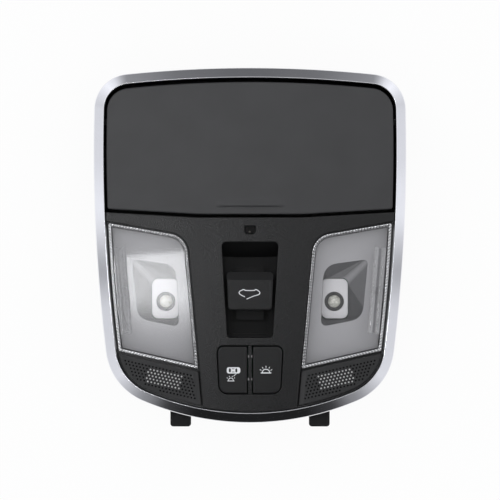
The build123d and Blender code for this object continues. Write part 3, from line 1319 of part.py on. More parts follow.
pieces = {
    "bezel_trim": bezel_trim,
    "headliner_seal": headliner_seal,
    "rear_housing": rear_housing,
    "front_panel": front_panel,
    "sunglass_door": sunglass_door,
    "sunglass_tray": sunglass_tray,
    "tray_liner": tray_liner,
    "hinge_pin_left": hinge_pin_left,
    "hinge_pin_right": hinge_pin_right,
    "damper_body": damper_body,
    "damper_gear": damper_gear,
    "latch_case": latch_case,
    "latch_plunger": latch_plunger,
    "lens_left": lens_left,
    "lens_right": lens_right,
    "reflector_left": reflector_left,
    "reflector_right": reflector_right,
    "led_holder_left": led_holder_left,
    "led_holder_right": led_holder_right,
    "map_led_left": map_led_left,
    "map_led_right": map_led_right,
    "map_switch_left": map_switch_left,
    "map_switch_right": map_switch_right,
    "map_dome_left": map_dome_left,
    "map_dome_right": map_dome_right,
    "grille_left": grille_left,
    "grille_right": grille_right,
    "mic_screen_left": mic_screen_left,
    "mic_screen_right": mic_screen_right,
    "microphone_left": microphone_left,
    "microphone_right": microphone_right,
    "sunroof_switch_cup": sunroof_switch_cup,
    "sunroof_carriage": sunroof_carriage,
    "sunroof_switch_base": sunroof_switch_base,
    "sunroof_knob": sunroof_knob,
    "door_lamp_button": door_lamp_button,
    "room_lamp_button": room_lamp_button,
    "door_lamp_dome": door_lamp_dome,
    "room_lamp_dome": room_lamp_dome,
    "mood_led": mood_led,
    "mood_lamp_guide": mood_lamp_guide,
    "circuit_board": circuit_board,
    "board_screws": board_screws,
    "panel_screws": panel_screws,
    "harness_connector": harness_connector,
    "connector_pins": connector_pins,
}
for name, piece in pieces.items():
    piece.part.label = name
    export_step(piece.part, f"parts/{name}.step")
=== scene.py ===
import json
from math import atan2, ceil, cos, hypot, pi, radians, sin, sqrt, tan

import bmesh
import bpy
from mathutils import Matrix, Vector
from mathutils.geometry import delaunay_2d_cdt


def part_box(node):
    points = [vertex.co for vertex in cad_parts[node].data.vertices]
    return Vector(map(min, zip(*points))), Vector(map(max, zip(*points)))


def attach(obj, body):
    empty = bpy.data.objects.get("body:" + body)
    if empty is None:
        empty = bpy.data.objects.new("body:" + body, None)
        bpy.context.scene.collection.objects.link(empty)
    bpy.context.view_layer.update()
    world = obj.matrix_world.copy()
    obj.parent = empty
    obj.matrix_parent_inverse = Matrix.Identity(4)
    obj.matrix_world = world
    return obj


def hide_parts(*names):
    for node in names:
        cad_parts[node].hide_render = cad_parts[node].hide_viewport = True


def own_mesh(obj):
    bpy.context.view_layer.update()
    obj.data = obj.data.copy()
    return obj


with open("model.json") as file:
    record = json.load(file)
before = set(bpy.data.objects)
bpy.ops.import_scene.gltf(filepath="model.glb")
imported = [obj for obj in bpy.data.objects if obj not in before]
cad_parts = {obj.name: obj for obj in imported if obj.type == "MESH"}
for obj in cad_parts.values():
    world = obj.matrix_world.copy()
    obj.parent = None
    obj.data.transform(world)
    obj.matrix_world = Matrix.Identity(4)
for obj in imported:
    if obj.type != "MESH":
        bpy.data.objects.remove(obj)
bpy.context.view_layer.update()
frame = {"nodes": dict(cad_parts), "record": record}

# The car overhead console lamp, dressed. Shapes are worked out in millimetres and stored in metres.
MM = 0.001

# Face outline, as in the part
HALF_WIDTH, WIDEST_Y, SIDE_RADIUS = 101.9, 61.75, 1085.0
TOP_Y, TOP_RADIUS, TOP_CORNER_R = 115.4, 800.0, 23.4
BOTTOM_Y, BOTTOM_RADIUS, BOTTOM_CORNER_R = -115.7, 179.0, 40.0
FACE_Z, CROWN_RADIUS = 48.0, 1800.0

# Sizes and places of the pieces, close to those of the part
SPLIT_Y, SPLIT_GAP, SPLIT_FLAT, SPLIT_RISE, SPLIT_BEND_R = 19.0, 2.0, 33.8, 3.3, 60.0
DOOR_INSET, DOOR_DROP, DOOR_DEPTH = 8.6, 0.9, 2.5
CORNER_X, CORNER_Y, CORNER_R, CORNER_LEAN, CORNER_RISE, CORNER_GAP = 40.7, 6.1, 14.0, 5.2, 9.9, 0.8
LENS_INSET, LENS_DEPTH, LENS_SKIN, LENS_SKIRT = 8.7, 4.2, 2.0, 1.8
SEAM_X, SEAM_Y, SEAM_RISE, SEAM_GAP = 33.6, -81.3, 12.7, 1.6
PRESS_X, PRESS_Y, PRESS_LENGTH, PRESS_PITCH, PRESS_LEAN = 82.45, -29.6, 57.0, 4.6, 4.7
STEM_X, STEM_Y, STEM_HOLE_R = 81.9, -29.6, 2.1
TRAY_DROP, TRAY_WALL, TRAY_MARGIN, FUNNEL_FLOOR_Z = 8.55, 1.5, 0.4, 30.5
HOLDER_X, HOLDER_Y, HOLDER_ROOM_X, HOLDER_ROOM_Y, HOLDER_ROOM_R = 55.4, -35.05, 17.8, 26.7, 4.3
GRILLE_X, GRILLE_Y, GRILLE_PITCH, GRILLE_DEPTH, GRILLE_SKIN = 55.4, -87.0, 2.3, 6.4, 2.0
KNOB_TOP_Z, BUTTON_TOP_Z = 49.1, 48.7

# Fineness of the meshes
BEZEL_STEP, DOOR_STEP, CORNER_STEP, LIMIT_STEP, GRILLE_STEP, SCREEN_STEP = 1.6, 1.5, 0.8, 1.5, 0.8, 1.5
RIDGE_GRID, FACE_GRID, TRAY_GRID, GRILLE_GRID = 0.55, 3.0, 4.0, 2.0
TIP_STEPS, RIM_STEPS, HOLE_SIDES = 5, 7, 24
DOOR_WINDOW, LAMP_WINDOW, GRILLE_WINDOW = (-95, 95, 20, 108), (30, 96, -90, 14), (28, 92, -112, -68)
SHARP_ANGLE = radians(32)
SHARP_TURN = radians(25)


def crown_drop(x):
    """How far the crowned face has fallen at x."""
    return CROWN_RADIUS - sqrt(CROWN_RADIUS ** 2 - x ** 2)


def face_level(x, y):
    """The crowned face."""
    return FACE_Z - crown_drop(x)


def below(drop, height=face_level):
    """A surface that lies under another by a drop."""
    return lambda x, y: height(x, y) - drop


def raised(points, height):
    """Outline points set on a surface."""
    return [(x, y, height(x, y)) for x, y in points]


def flat(points, z):
    """Outline points set at one height."""
    return [(x, y, z) for x, y in points]


def smooth(t):
    """Smooth step from 0 to 1."""
    t = min(1.0, max(0.0, t))
    return t * t * (3 - 2 * t)


def shifted(p, way, amount):
    """A point moved along a way."""
    return (p[0] + way[0] * amount, p[1] + way[1] * amount)


def sides_of(points):
    """The way from each point of a closed outline to the next."""
    return [(q[0] - p[0], q[1] - p[1]) for p, q in zip(points, points[1:] + points[:1])]


def even(start, stop, count):
    """Values from start to stop in even steps."""
    return [start + (stop - start) * k / count for k in range(count + 1)]


def arc(centre, radius, start, stop, step):
    """Points and outward normals along an arc, without its end."""
    turns = even(start, stop, max(2, ceil(abs(stop - start) * radius / step)))
    return [(*shifted(centre, (cos(a), sin(a)), radius), cos(a), sin(a)) for a in turns[:-1]]


def circles_meet(c1, r1, c2, r2, up):
    """The higher meeting point of two circles, or the lower one where up is -1."""
    dx, dy = c2[0] - c1[0], c2[1] - c1[1]
    d = hypot(dx, dy)
    a = (r1 * r1 - r2 * r2 + d * d) / (2 * d)
    h = sqrt(r1 * r1 - a * a)
    foot = shifted(c1, (dx / d, dy / d), a)
    return max((shifted(foot, (dy / d, -dx / d), s * h) for s in (-1, 1)), key=lambda p: p[1] * up)


def base_outline(step):
    """The face outline from the bottom centre, anticlockwise, with normals."""
    top = (0.0, TOP_Y - TOP_RADIUS)
    bottom = (0.0, BOTTOM_Y + BOTTOM_RADIUS)
    side = (HALF_WIDTH - SIDE_RADIUS, WIDEST_Y)
    low = circles_meet(bottom, BOTTOM_RADIUS - BOTTOM_CORNER_R, side, SIDE_RADIUS - BOTTOM_CORNER_R, -1)
    high = circles_meet(top, TOP_RADIUS - TOP_CORNER_R, side, SIDE_RADIUS - TOP_CORNER_R, 1)

    def turn(point, centre):
        return atan2(point[1] - centre[1], point[0] - centre[0])

    turns = [-pi / 2, turn(low, bottom), turn(low, side), turn(high, side), turn(high, top), pi / 2]
    centres = (bottom, low, side, high, top)
    radii = (BOTTOM_RADIUS, BOTTOM_CORNER_R, SIDE_RADIUS, TOP_CORNER_R, TOP_RADIUS)
    half = []
    for centre, radius, finer, start, stop in zip(centres, radii, (1, 2, 1, 3, 1), turns, turns[1:]):
        half += arc(centre, radius, start, stop, step / finer)
    crest = [(0.0, TOP_Y, 0.0, 1.0)]
    return half + crest + [(-x, y, -nx, ny) for x, y, nx, ny in reversed(half[1:])]


def face_outline(inset, step=2.0):
    """The face outline drawn in by an inset."""
    return [(x - nx * inset, y - ny * inset) for x, y, nx, ny in base_outline(step)]


def clip_line(points, anchor, way):
    """What lies to the left of a line, from a convex outline."""
    offsets = [way[0] * (p[1] - anchor[1]) - way[1] * (p[0] - anchor[0]) for p in points]
    kept = []
    for p, side, a, b in zip(points, sides_of(points), offsets, offsets[1:] + offsets[:1]):
        if a >= 0:
            kept.append(p)
        if (a >= 0) != (b >= 0):
            kept.append(shifted(p, side, a / (a - b)))
    return kept


def tip(before, corner, after, reach, steps):
    """The short curve of a corner, which starts and ends a reach away from it."""
    a, b = before - corner, after - corner
    start = corner + a.normalized() * min(reach, a.length * 0.9)
    stop = corner + b.normalized() * min(reach, b.length * 0.9)
    return [tuple((1 - t) ** 2 * start + 2 * t * (1 - t) * corner + t * t * stop) for t in even(0, 1, steps)]


def round_tips(points, reach):
    """Sharp corners replaced by short curves."""
    places = [Vector(p) for p in points]
    made = []
    for k, corner in enumerate(places):
        before, after = places[k - 1], places[(k + 1) % len(places)]
        a, b = before - corner, after - corner
        if a.length < 1e-6 or b.length < 1e-6:
            continue
        if pi - a.angle(b) < SHARP_TURN:
            made.append(points[k])
        else:
            made += tip(before, corner, after, reach, TIP_STEPS)
    return made


def rounded_loop(corners):
    """A closed loop of straight sides; each corner is given with the reach of its rounding."""
    places = [Vector(c[:2]) for c in corners]
    loop = []
    for k, corner in enumerate(corners):
        loop += tip(places[k - 1], places[k], places[(k + 1) % len(places)], corner[2], RIM_STEPS)
    return loop


def resampled(points, step):
    """A closed outline with even steps."""
    sides = sides_of(points)
    lengths = [hypot(*s) for s in sides]
    total = sum(lengths)
    count = max(8, round(total / step))
    made, k, run = [], 0, 0.0
    for j in range(count):
        target = total * j / count
        while run + lengths[k] < target:
            run += lengths[k]
            k += 1
        made.append(shifted(points[k], sides[k], (target - run) / lengths[k]))
    return made


def mitres(sides):
    """How each point of an anticlockwise outline moves inwards per millimetre of inset, from its sides."""
    lengths = [hypot(*s) or 1.0 for s in sides]
    normals = [(-s[1] / d, s[0] / d) for s, d in zip(sides, lengths)]
    found = []
    for a, b in zip(normals[-1:] + normals[:-1], normals):
        scale = 1 / max(0.35, 1 + a[0] * b[0] + a[1] * b[1])
        found.append(((a[0] + b[0]) * scale, (a[1] + b[1]) * scale))
    return found


def drawn_in(points, amount):
    """A convex outline drawn in; where a corner's rounding is used up, its points meet in one."""
    sides = sides_of(points)
    moved = [shifted(p, way, amount) for p, way in zip(points, mitres(sides))]
    n = len(points)
    near = ceil(4 * n * max(0.0, amount) / sum(hypot(*s) for s in sides)) + 1
    lost = set()
    for k, (x, y) in enumerate(moved):
        for j in range(k - near, k + near):
            p, s = points[j % n], sides[j % n]
            if s[0] * (y - p[1]) - s[1] * (x - p[0]) < (amount - 1e-6) * hypot(*s):
                lost.add(k)
    for first in [k for k in lost if (k - 1) % n not in lost]:
        last = first
        while (last + 1) % n in lost:
            last = (last + 1) % n
        p, s = moved[first - 1], sides[first - 2]
        q, r = moved[(last + 1) % n], sides[(last + 1) % n]
        run = ((q[0] - p[0]) * r[1] - (q[1] - p[1]) * r[0]) / (s[0] * r[1] - s[1] * r[0])
        for k in range(first, last + 1 if last >= first else last + 1 + n):
            moved[k % n] = shifted(p, s, run)
    return moved


def inside_outline(outline, margin):
    """A test for points that lie inside an outline, by a margin."""
    pairs = list(zip(outline, outline[1:] + outline[:1]))

    def test(x, y):
        odd = False
        for (x0, y0), (x1, y1) in pairs:
            dx, dy = x1 - x0, y1 - y0
            t = min(1.0, max(0.0, ((x - x0) * dx + (y - y0) * dy) / (dx * dx + dy * dy + 1e-12)))
            if hypot(x - x0 - dx * t, y - y0 - dy * t) < margin:
                return False
            if (y0 > y) != (y1 > y) and x < dx * (y - y0) / dy + x0:
                odd = not odd
        return odd

    return test


def grid(x0, x1, y0, y1, step):
    """Points of a staggered grid."""
    rows, columns = max(1, round((y1 - y0) / step)), max(1, round((x1 - x0) / step))
    return [
        (x0 + (x1 - x0) * k / columns + (step / 2 if j % 2 else 0.0), y0 + (y1 - y0) * j / rows)
        for j in range(rows + 1)
        for k in range(columns + 1)
    ]


def circle(centre, radius, sides=12):
    """Points of a regular outline."""
    return [shifted(centre, (cos(a), sin(a)), radius) for a in even(0, 2 * pi, sides)[:-1]]


def middle(points, face):
    """The middle of a face, seen from above."""
    return sum(points[k][0] for k in face) / len(face), sum(points[k][1] for k in face) / len(face)


def flat_fill(outline, interior, holes=(), creases=()):
    """Points and triangles of an outline with inner points, open convex holes and kept creases."""
    points, edges, loop_of = [], [], []
    for number, loop in enumerate([outline, *holes, *creases]):
        loop = [p for k, p in enumerate(loop) if p != loop[k - 1]]
        start = len(points)
        points += [Vector(p) for p in loop]
        loop_of += [number] * len(loop)
        edges += [(start + k, start + (k + 1) % len(loop)) for k in range(len(loop))]
    points += [Vector(p) for p in interior]
    found, _, triangles, origins, _, _ = delaunay_2d_cdt(points, edges, [], 1, 1e-7, True)
    owner = [next((loop_of[k] for k in source if k < len(loop_of)), None) for source in origins]
    within = inside_outline(outline, 0.002)
    kept = []
    for t in triangles:
        number = owner[t[0]]
        if number is not None and number == owner[t[1]] == owner[t[2]]:
            if 0 < number <= len(holes) or number == 0 and not within(*middle(found, t)):
                continue
        kept.append(t)
    return found, kept


class Shell:
    """Points and faces of one piece, gathered ring by ring."""

    def __init__(self):
        self.verts, self.faces = [], []

    def ring(self, points):
        """New points; returns their numbers."""
        start = len(self.verts)
        self.verts += points
        return list(range(start, len(self.verts)))

    def bridge(self, a, b):
        """Faces between two rings."""
        n = len(a)
        for k in range(n):
            self.faces.append((a[k], a[(k + 1) % n], b[(k + 1) % n], b[k]))

    def stack(self, loops):
        """Rings of points, each joined to the next; returns the rings."""
        rings = [self.ring(points) for points in loops]
        for a, b in zip(rings, rings[1:]):
            self.bridge(a, b)
        return rings

    def column(self, loops):
        """A stack with both ends closed."""
        rings = self.stack(loops)
        self.faces += [tuple(rings[0]), tuple(rings[-1])]
        return self

    def cap(self, outline, interior, height, holes=(), creases=()):
        """A filled outline set on a surface; returns its points and triangles."""
        found, triangles = flat_fill(outline, interior, holes, creases)
        start = len(self.verts)
        self.verts += [(p[0], p[1], height(p[0], p[1])) for p in found]
        self.faces += [tuple(start + k for k in t) for t in triangles]
        return found, triangles


def turned(centre, foot_z, section, sides):
    """A closed piece of stacked circles, each given as radius and height over the foot."""
    return Shell().column([flat(circle(centre, radius, sides), foot_z + rise) for radius, rise in section])


def new_object(name, shell, body, slot, replaced=(), look=None, later=(), side="right"):
    """A mesh piece on a body, in its slot's look or its own; later looks come with their faces."""
    flip = -MM if side == "left" else MM
    mesh = bpy.data.meshes.new(name)
    mesh.from_pydata([(x * flip, y * MM, z * MM) for x, y, z in shell.verts], [], shell.faces)
    mesh.materials.append(look or SLOT_LOOKS[slot])
    for number, (other_look, chosen) in enumerate(later, 1):
        mesh.materials.append(other_look)
        for k in chosen:
            mesh.polygons[k].material_index = number
    tidy = bmesh.new()
    tidy.from_mesh(mesh)
    bmesh.ops.remove_doubles(tidy, verts=tidy.verts, dist=2e-6)
    bmesh.ops.dissolve_degenerate(tidy, edges=tidy.edges, dist=1e-7)
    bmesh.ops.recalc_face_normals(tidy, faces=tidy.faces)
    tidy.to_mesh(mesh)
    tidy.free()
    mesh.shade_smooth()
    mesh.set_sharp_from_angle(angle=SHARP_ANGLE)
    piece = bpy.data.objects.new(name, mesh)
    bpy.context.scene.collection.objects.link(piece)
    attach(piece, body)
    if replaced:
        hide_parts(*replaced)
    return piece


def scaled(colour, share):
    """A darker or lighter colour."""
    return tuple(c * share for c in colour)


class Look:
    """A procedural material, built node by node."""

    def __init__(self, name, inputs=()):
        self.made = bpy.data.materials.new(name)
        self.made.use_nodes = True
        self.nodes, self.links = self.made.node_tree.nodes, self.made.node_tree.links
        self.shader = self.nodes["Principled BSDF"]
        self.feed(dict(inputs))

    def feed(self, inputs, node=None):
        """Sets or links inputs, by name or number, of a node or of the main shader."""
        node = node or self.shader
        for key, value in inputs.items():
            if isinstance(value, bpy.types.NodeSocket):
                self.links.new(value, node.inputs[key])
            else:
                node.inputs[key].default_value = value

    def add(self, kind, inputs=(), operation=None):
        """A new node with its inputs; returns its outputs."""
        node = self.nodes.new("ShaderNode" + kind)
        if operation:
            node.operation = operation
        self.feed(dict(inputs), node)
        return node.outputs

    def place(self):
        """The part's own coordinates."""
        return self.add("TexCoord")["Object"]

    def noise(self, scale, detail=2.0):
        """Noise in the part's own coordinates."""
        return self.add("TexNoise", {"Scale": scale, "Detail": detail, "Vector": self.place()})["Fac"]

    def spread(self, source, low, high, start=0.3, stop=0.7):
        """A factor mapped to a range of values."""
        limits = {"From Min": start, "From Max": stop, "To Min": low, "To Max": high}
        return self.add("MapRange", {**limits, "Value": source})["Result"]

    def ramp(self, source, stops):
        """A factor mapped to colours, each given with its place."""
        node = self.nodes.new("ShaderNodeValToRGB")
        elements = node.color_ramp.elements
        while len(elements) < len(stops):
            elements.new(0.5)
        for element, (position, colour) in zip(elements, stops):
            element.position = position
            element.color = (*colour, 1)
        self.feed({"Fac": source}, node)
        return node.outputs["Color"]

    def tint(self, source, dark, light, start=0.3, stop=0.7):
        """A factor mapped to a range between two colours."""
        return self.ramp(source, [(start, dark), (stop, light)])

    def relief(self, source, strength, depth_mm):
        """Fine relief."""
        bump = self.add("Bump", {"Strength": strength, "Distance": depth_mm * MM, "Height": source})
        self.feed({"Normal": bump["Normal"]})

    def grain(self, scale, low, high, strength, depth_mm):
        """Fine grain in roughness and relief."""
        grains = self.noise(scale)
        self.feed({"Roughness": self.spread(grains, low, high)})
        self.relief(grains, strength, depth_mm)

    def shade(self, source, colour, dark, light=1.0):
        """A base colour between two shares of a colour."""
        self.feed({"Base Color": self.tint(source, scaled(colour, dark), scaled(colour, light))})

    def blend(self, share, other):
        """Mixes the main shader with another."""
        mix = self.add("MixShader", {"Fac": share, 1: self.shader.outputs["BSDF"], 2: other})
        self.feed({"Surface": mix["Shader"]}, self.nodes["Material Output"])


def plastic(name, colour, roughness, grain_mm=0.45, relief=0.25, shine=0.5):
    """Moulded plastic with a fine eroded grain."""
    look = Look(name, {"Specular IOR Level": shine})
    look.shade(look.noise(45.0), colour, 0.92, 1.08)
    look.grain(1 / (grain_mm * MM), roughness - 0.05, roughness + 0.05, relief, 0.03)
    return look.made


def metal(name, colour, roughness):
    """Metal with a fine satin grain."""
    look = Look(name, {"Metallic": 1.0})
    look.shade(look.noise(60.0), colour, 0.97)
    look.grain(2600.0, roughness * 0.8, roughness * 1.2, 0.05, 0.01)
    return look.made


CLEAR_IOR = 1.45


def clear(name, colour, roughness):
    """Clear moulded plastic that lets lamps through."""
    look = Look(name, {"Base Color": (*colour, 1), "Roughness": roughness, "IOR": CLEAR_IOR})
    look.feed({"Transmission Weight": 1.0})
    rays = look.add("LightPath")
    either = look.add("Math", {0: rays["Is Shadow Ray"], 1: rays["Is Diffuse Ray"]}, "MAXIMUM")["Value"]
    look.blend(either, look.add("BsdfTransparent", {"Color": (*colour, 1)})["BSDF"])
    return look.made


def frosted(name, colour, roughness, share):
    """Clear plastic that scatters light in its rough border; in its darker uses the colour is painted shade.
    """
    look = Look(name, {"Roughness": roughness, "Transmission Weight": share, "IOR": CLEAR_IOR})
    look.shade(look.noise(900.0), colour, 0.82)
    return look.made


def felt_look(name, colour):
    """Short flock."""
    look = Look(name, {"Roughness": 0.95, "Sheen Weight": 0.3})
    fibres = look.noise(3200.0, 4.0)
    look.shade(fibres, colour, 0.6, 1.5)
    look.relief(fibres, 0.6, 0.1)
    return look.made


def reflector_wall_shade_look(name, face, wall):
    """Satin plastic with painted shade: its colour turns darker on the steep walls of its recess, where
    shade falls.
    """
    look = Look(name)
    upright = look.add("SeparateXYZ", {"Vector": look.add("NewGeometry")["True Normal"]})["Z"]
    # Painted shade: steep faces take the dark colour, level faces the pale one.
    look.feed({"Base Color": look.tint(upright, wall, face, 0.8, 0.97)})
    look.grain(1800.0, 0.42, 0.52, 0.1, 0.02)
    return look.made


def emitter_look(name):
    """Clear dome over a pale emitter with a facetted pattern."""
    look = Look(name, {"Roughness": 0.12})
    cells = look.add("TexVoronoi", {"Scale": 620.0, "Vector": look.place()})["Distance"]
    look.feed({"Base Color": look.tint(cells, (0.97, 0.96, 0.88), (0.55, 0.55, 0.48), 0.15, 0.75)})
    look.relief(cells, 0.5, 0.25)
    return look.made


pocket_plastic = plastic("pocket_plastic", (0.006, 0.006, 0.0062), 0.5, shine=0.22)
# Near black painted shade for the insides of the grille's blind dimples.
dimple_painted_shade = plastic("dimple_painted_shade", (0.002, 0.002, 0.002), 0.7, shine=0.03)
screen_cloth = plastic("screen_cloth", (0.86, 0.86, 0.86), 0.8, grain_mm=0.3)
print_white = plastic("print_white", (0.80, 0.81, 0.83), 0.5, grain_mm=0.3, relief=0.05)
nub_grey = plastic("nub_grey", (0.30, 0.30, 0.31), 0.5)
# Lens looks: a bright mirror stands in for the lit facet of each border notch; the other facet, the border's
# groove and the strip between the ribs get painted shade.
prism_lit_side = metal("prism_lit_side", (0.78, 0.78, 0.795), 0.2)
prism_painted_shade = frosted("prism_painted_shade", (0.3, 0.3, 0.305), 0.3, 0.2)
groove_painted_shade = frosted("groove_painted_shade", (0.10, 0.10, 0.105), 0.3, 0.45)
rib_frost = frosted("rib_frost", (0.72, 0.72, 0.73), 0.12, 0.7)
between_ribs_painted_shade = frosted("between_ribs_painted_shade", (0.4, 0.4, 0.41), 0.15, 0.75)
guide_smoke = plastic("guide_smoke", (0.004, 0.004, 0.004), 0.25, relief=0.02, shine=0.12)
mood_pale = plastic("mood_pale", (0.09, 0.085, 0.075), 0.3, relief=0.03, shine=0.2)
holder_satin = plastic("holder_satin", (0.76, 0.75, 0.76), 0.4, relief=0.08)
stem_grey = plastic("stem_grey", (0.34, 0.335, 0.345), 0.5, relief=0.05)
lamp_ring = plastic("lamp_ring", (0.035, 0.035, 0.036), 0.3, relief=0.05)

SLOT_LOOKS = {
    "satin_metal": metal("bezel_satin_metal", (0.90, 0.905, 0.93), 0.10),
    "seal_foam": plastic("seal_foam", (0.02, 0.02, 0.02), 0.9, grain_mm=1.2, relief=0.7),
    "housing_black": plastic("housing_plastic", (0.007, 0.007, 0.0072), 0.5, grain_mm=0.7, shine=0.25),
    "panel_black": plastic("panel_plastic", (0.009, 0.009, 0.0094), 0.30, shine=0.40),
    "door_black": plastic("door_plastic", (0.036, 0.036, 0.0377), 0.42),
    "felt": felt_look("felt", (0.02, 0.02, 0.022)),
    "steel": metal("plain_steel", (0.55, 0.55, 0.57), 0.3),
    "white_plastic": plastic("natural_plastic", (0.72, 0.72, 0.70), 0.45),
    "clear_lens": clear("lens_clear", (0.985, 0.985, 0.99), 0.03),
    # The reflector's recess walls carry painted shade.
    "reflector_grey": reflector_wall_shade_look("reflector_painted_wall_shade", (0.37, 0.365, 0.375), (0.07, 0.07, 0.073)),
    "emitter": emitter_look("emitter"),
    "silicone": plastic("silicone", (0.7, 0.71, 0.71), 0.55, relief=0.05),
    "grille_black": plastic("grille_plastic", (0.020, 0.020, 0.0208), 0.45, shine=0.42),
    "key_black": plastic("key_plastic", (0.008, 0.008, 0.0084), 0.34, grain_mm=0.3, relief=0.15, shine=0.35),
    "board_green": plastic("board_mask", (0.015, 0.13, 0.055), 0.35, grain_mm=1.5, relief=0.05),
    "pin_brass": metal("tinned_brass", (0.72, 0.63, 0.38), 0.25),
}
NODE_LOOKS = {
    "led_holder_left": holder_satin,
    "led_holder_right": holder_satin,
    "mood_lamp_guide": guide_smoke,
    "sunroof_switch_base": pocket_plastic,
    "sunroof_switch_cup": pocket_plastic,
    "sunroof_carriage": pocket_plastic,
}
for row in frame["record"]["subparts"]:
    shown = frame["nodes"][row["node"]]
    shown.data.materials.clear()
    shown.data.materials.append(NODE_LOOKS.get(row["node"], SLOT_LOOKS[row["material_slot"]]))

SIDES = ("right", "left")
BOX_CORNERS = ((-1, -1), (1, -1), (1, 1), (-1, 1))

# Bezel: one smooth section with a bulged slope, given as inset and centre-line level, outer foot first
BEZEL_FOOT = ((0.4, 41.55), (0.1, 41.7), (0.02, 42.0), (0.02, 44.1), (0.06, 44.42), (0.22, 44.72))
BEZEL_CREST = (
    (6.1, 49.02), (6.25, 49.11), (6.4, 49.15), (6.52, 49.12), (6.62, 49.02), (6.72, 48.85), (7.05, 48.1),
    (7.2, 47.6), (7.2, 45.0), (7.2, 41.55),
)
SLOPE_STEPS, SLOPE_BULGE, BULGE_LEAN = 10, 0.05, 0.6
slope_start, slope_stop = BEZEL_FOOT[-1], BEZEL_CREST[0]
slope_way = (slope_stop[0] - slope_start[0], slope_stop[1] - slope_start[1])
slope = []
for t in even(0, 1, SLOPE_STEPS)[1:-1]:
    bulge = SLOPE_BULGE * sin(pi * t)
    inset, level = shifted(slope_start, slope_way, t)
    slope.append((inset - bulge * BULGE_LEAN, level + bulge))
bezel = Shell()
bezel_rings = bezel.stack([
    [(x, y, level - crown_drop(x)) for x, y in face_outline(inset, BEZEL_STEP)]
    for inset, level in [*BEZEL_FOOT, *slope, *BEZEL_CREST]
])
bezel.bridge(bezel_rings[-1], bezel_rings[0])
new_object("bezel", bezel, "root", "satin_metal", ["bezel_trim"])

# Sunglass door: crowned skin with a soft finger ridge; its outline runs over the top from right to left
RIDGE_TOP, RIDGE_CREST, RIDGE_FOOT, RIDGE_HALF, RIDGE_HEIGHT, RIDGE_FADE = 30.4, 25.7, 24.5, 23.4, 1.0, 6.5
EDGE_R, EDGE_STEPS, EDGE_FLAT, EDGE_RUN = 0.8, 4, 0.35, 1.6
DOOR_TIP, LOWER_STEPS = 1.3, 90


def split_level(x):
    """The door's lower edge at x."""
    run = abs(x) - SPLIT_FLAT
    reach = SPLIT_BEND_R * tan(radians(SPLIT_RISE) / 2)
    if run < -reach:
        climb = 0.0
    elif run < reach:
        climb = SPLIT_BEND_R - sqrt(max(0.0, SPLIT_BEND_R ** 2 - (run + reach) ** 2))
    else:
        climb = run * tan(radians(SPLIT_RISE))
    return SPLIT_Y + SPLIT_GAP / 2 + climb


def ridge(x, y):
    """Height of the finger ridge."""
    side = smooth((RIDGE_HALF - abs(x)) / RIDGE_FADE)
    if y > RIDGE_CREST:
        part = smooth((RIDGE_TOP - y) / (RIDGE_TOP - RIDGE_CREST))
    else:
        part = 1 - smooth((RIDGE_CREST - y) / (RIDGE_CREST - RIDGE_FOOT))
    return RIDGE_HEIGHT * side * part


upper = [(x, y - DOOR_DROP) for x, y in face_outline(DOOR_INSET)]
upper = [(x, y) for x, y in upper if y > split_level(x) + 0.01]
edge_x = upper[0][0]
for _ in range(3):
    edge_x = HALF_WIDTH - DOOR_INSET - (split_level(edge_x) + DOOR_DROP - WIDEST_Y) ** 2 / (2 * SIDE_RADIUS)
lower = [(x, split_level(x)) for x in even(-edge_x, edge_x, LOWER_STEPS)]
door_outline = resampled(round_tips(upper + lower, DOOR_TIP), DOOR_STEP)
door_section = [(0.0, DOOR_DEPTH), (0.0, EDGE_R)]
for a in even(0, pi / 2, EDGE_STEPS)[1:]:
    door_section.append((EDGE_R * (1 - cos(a)), EDGE_R * (1 - sin(a))))
door_section += [(EDGE_R + EDGE_FLAT, 0.0), (EDGE_R + EDGE_RUN, 0.0)]
door = Shell()
door.stack([raised(drawn_in(door_outline, inset), below(drop)) for inset, drop in door_section])
face_edge = drawn_in(door_outline, EDGE_R + EDGE_RUN)
well_inside = inside_outline(face_edge, 1.2)
fine = grid(-RIDGE_HALF - 1, RIDGE_HALF + 1, RIDGE_FOOT - 0.4, RIDGE_TOP + 0.4, RIDGE_GRID)
coarse = [
    (x, y)
    for x, y in grid(*DOOR_WINDOW, FACE_GRID)
    if abs(x) > RIDGE_HALF + 2.5 or not RIDGE_FOOT - 1.5 < y < RIDGE_TOP + 1.5
]
fine, coarse = [[p for p in points if well_inside(*p)] for points in (fine, coarse)]
door.cap(face_edge, fine + coarse, lambda x, y: face_level(x, y) + ridge(x, y))
door.cap(door_outline, coarse, below(DOOR_DEPTH))
new_object("holder_door", door, "holder", "door_black", ["sunglass_door"])

# Outline of the right lamp corner, inside the panel's edge
FAR, FAR_X = 150, 200.0
lean, rise, seam = radians(CORNER_LEAN), radians(CORNER_RISE), radians(SEAM_RISE)
down_left, up_right = (-sin(lean), -cos(lean)), (cos(rise), sin(rise))
in_a, in_b = (cos(lean), -sin(lean)), (sin(rise), -cos(rise))
opening = 1 + in_a[0] * in_b[0] + in_a[1] * in_b[1]
corner_way = ((in_a[0] + in_b[0]) / opening, (in_a[1] + in_b[1]) / opening)
apex = shifted((CORNER_X, CORNER_Y), corner_way, CORNER_GAP)
round_r = CORNER_R - CORNER_GAP
round_centre = shifted(apex, corner_way, round_r)
arc_start, arc_stop = atan2(-in_b[1], -in_b[0]), atan2(-in_a[1], -in_a[0]) % (2 * pi)
corner_region = [p[:2] for p in arc(round_centre, round_r, arc_start, arc_stop, CORNER_STEP)]
corner_region += [shifted(round_centre, in_a, -round_r), shifted(apex, down_left, FAR)]
corner_region += [(FAR_X, apex[1] - FAR), shifted(apex, up_right, FAR)]
lens_limit = face_outline(LENS_INSET, LIMIT_STEP)
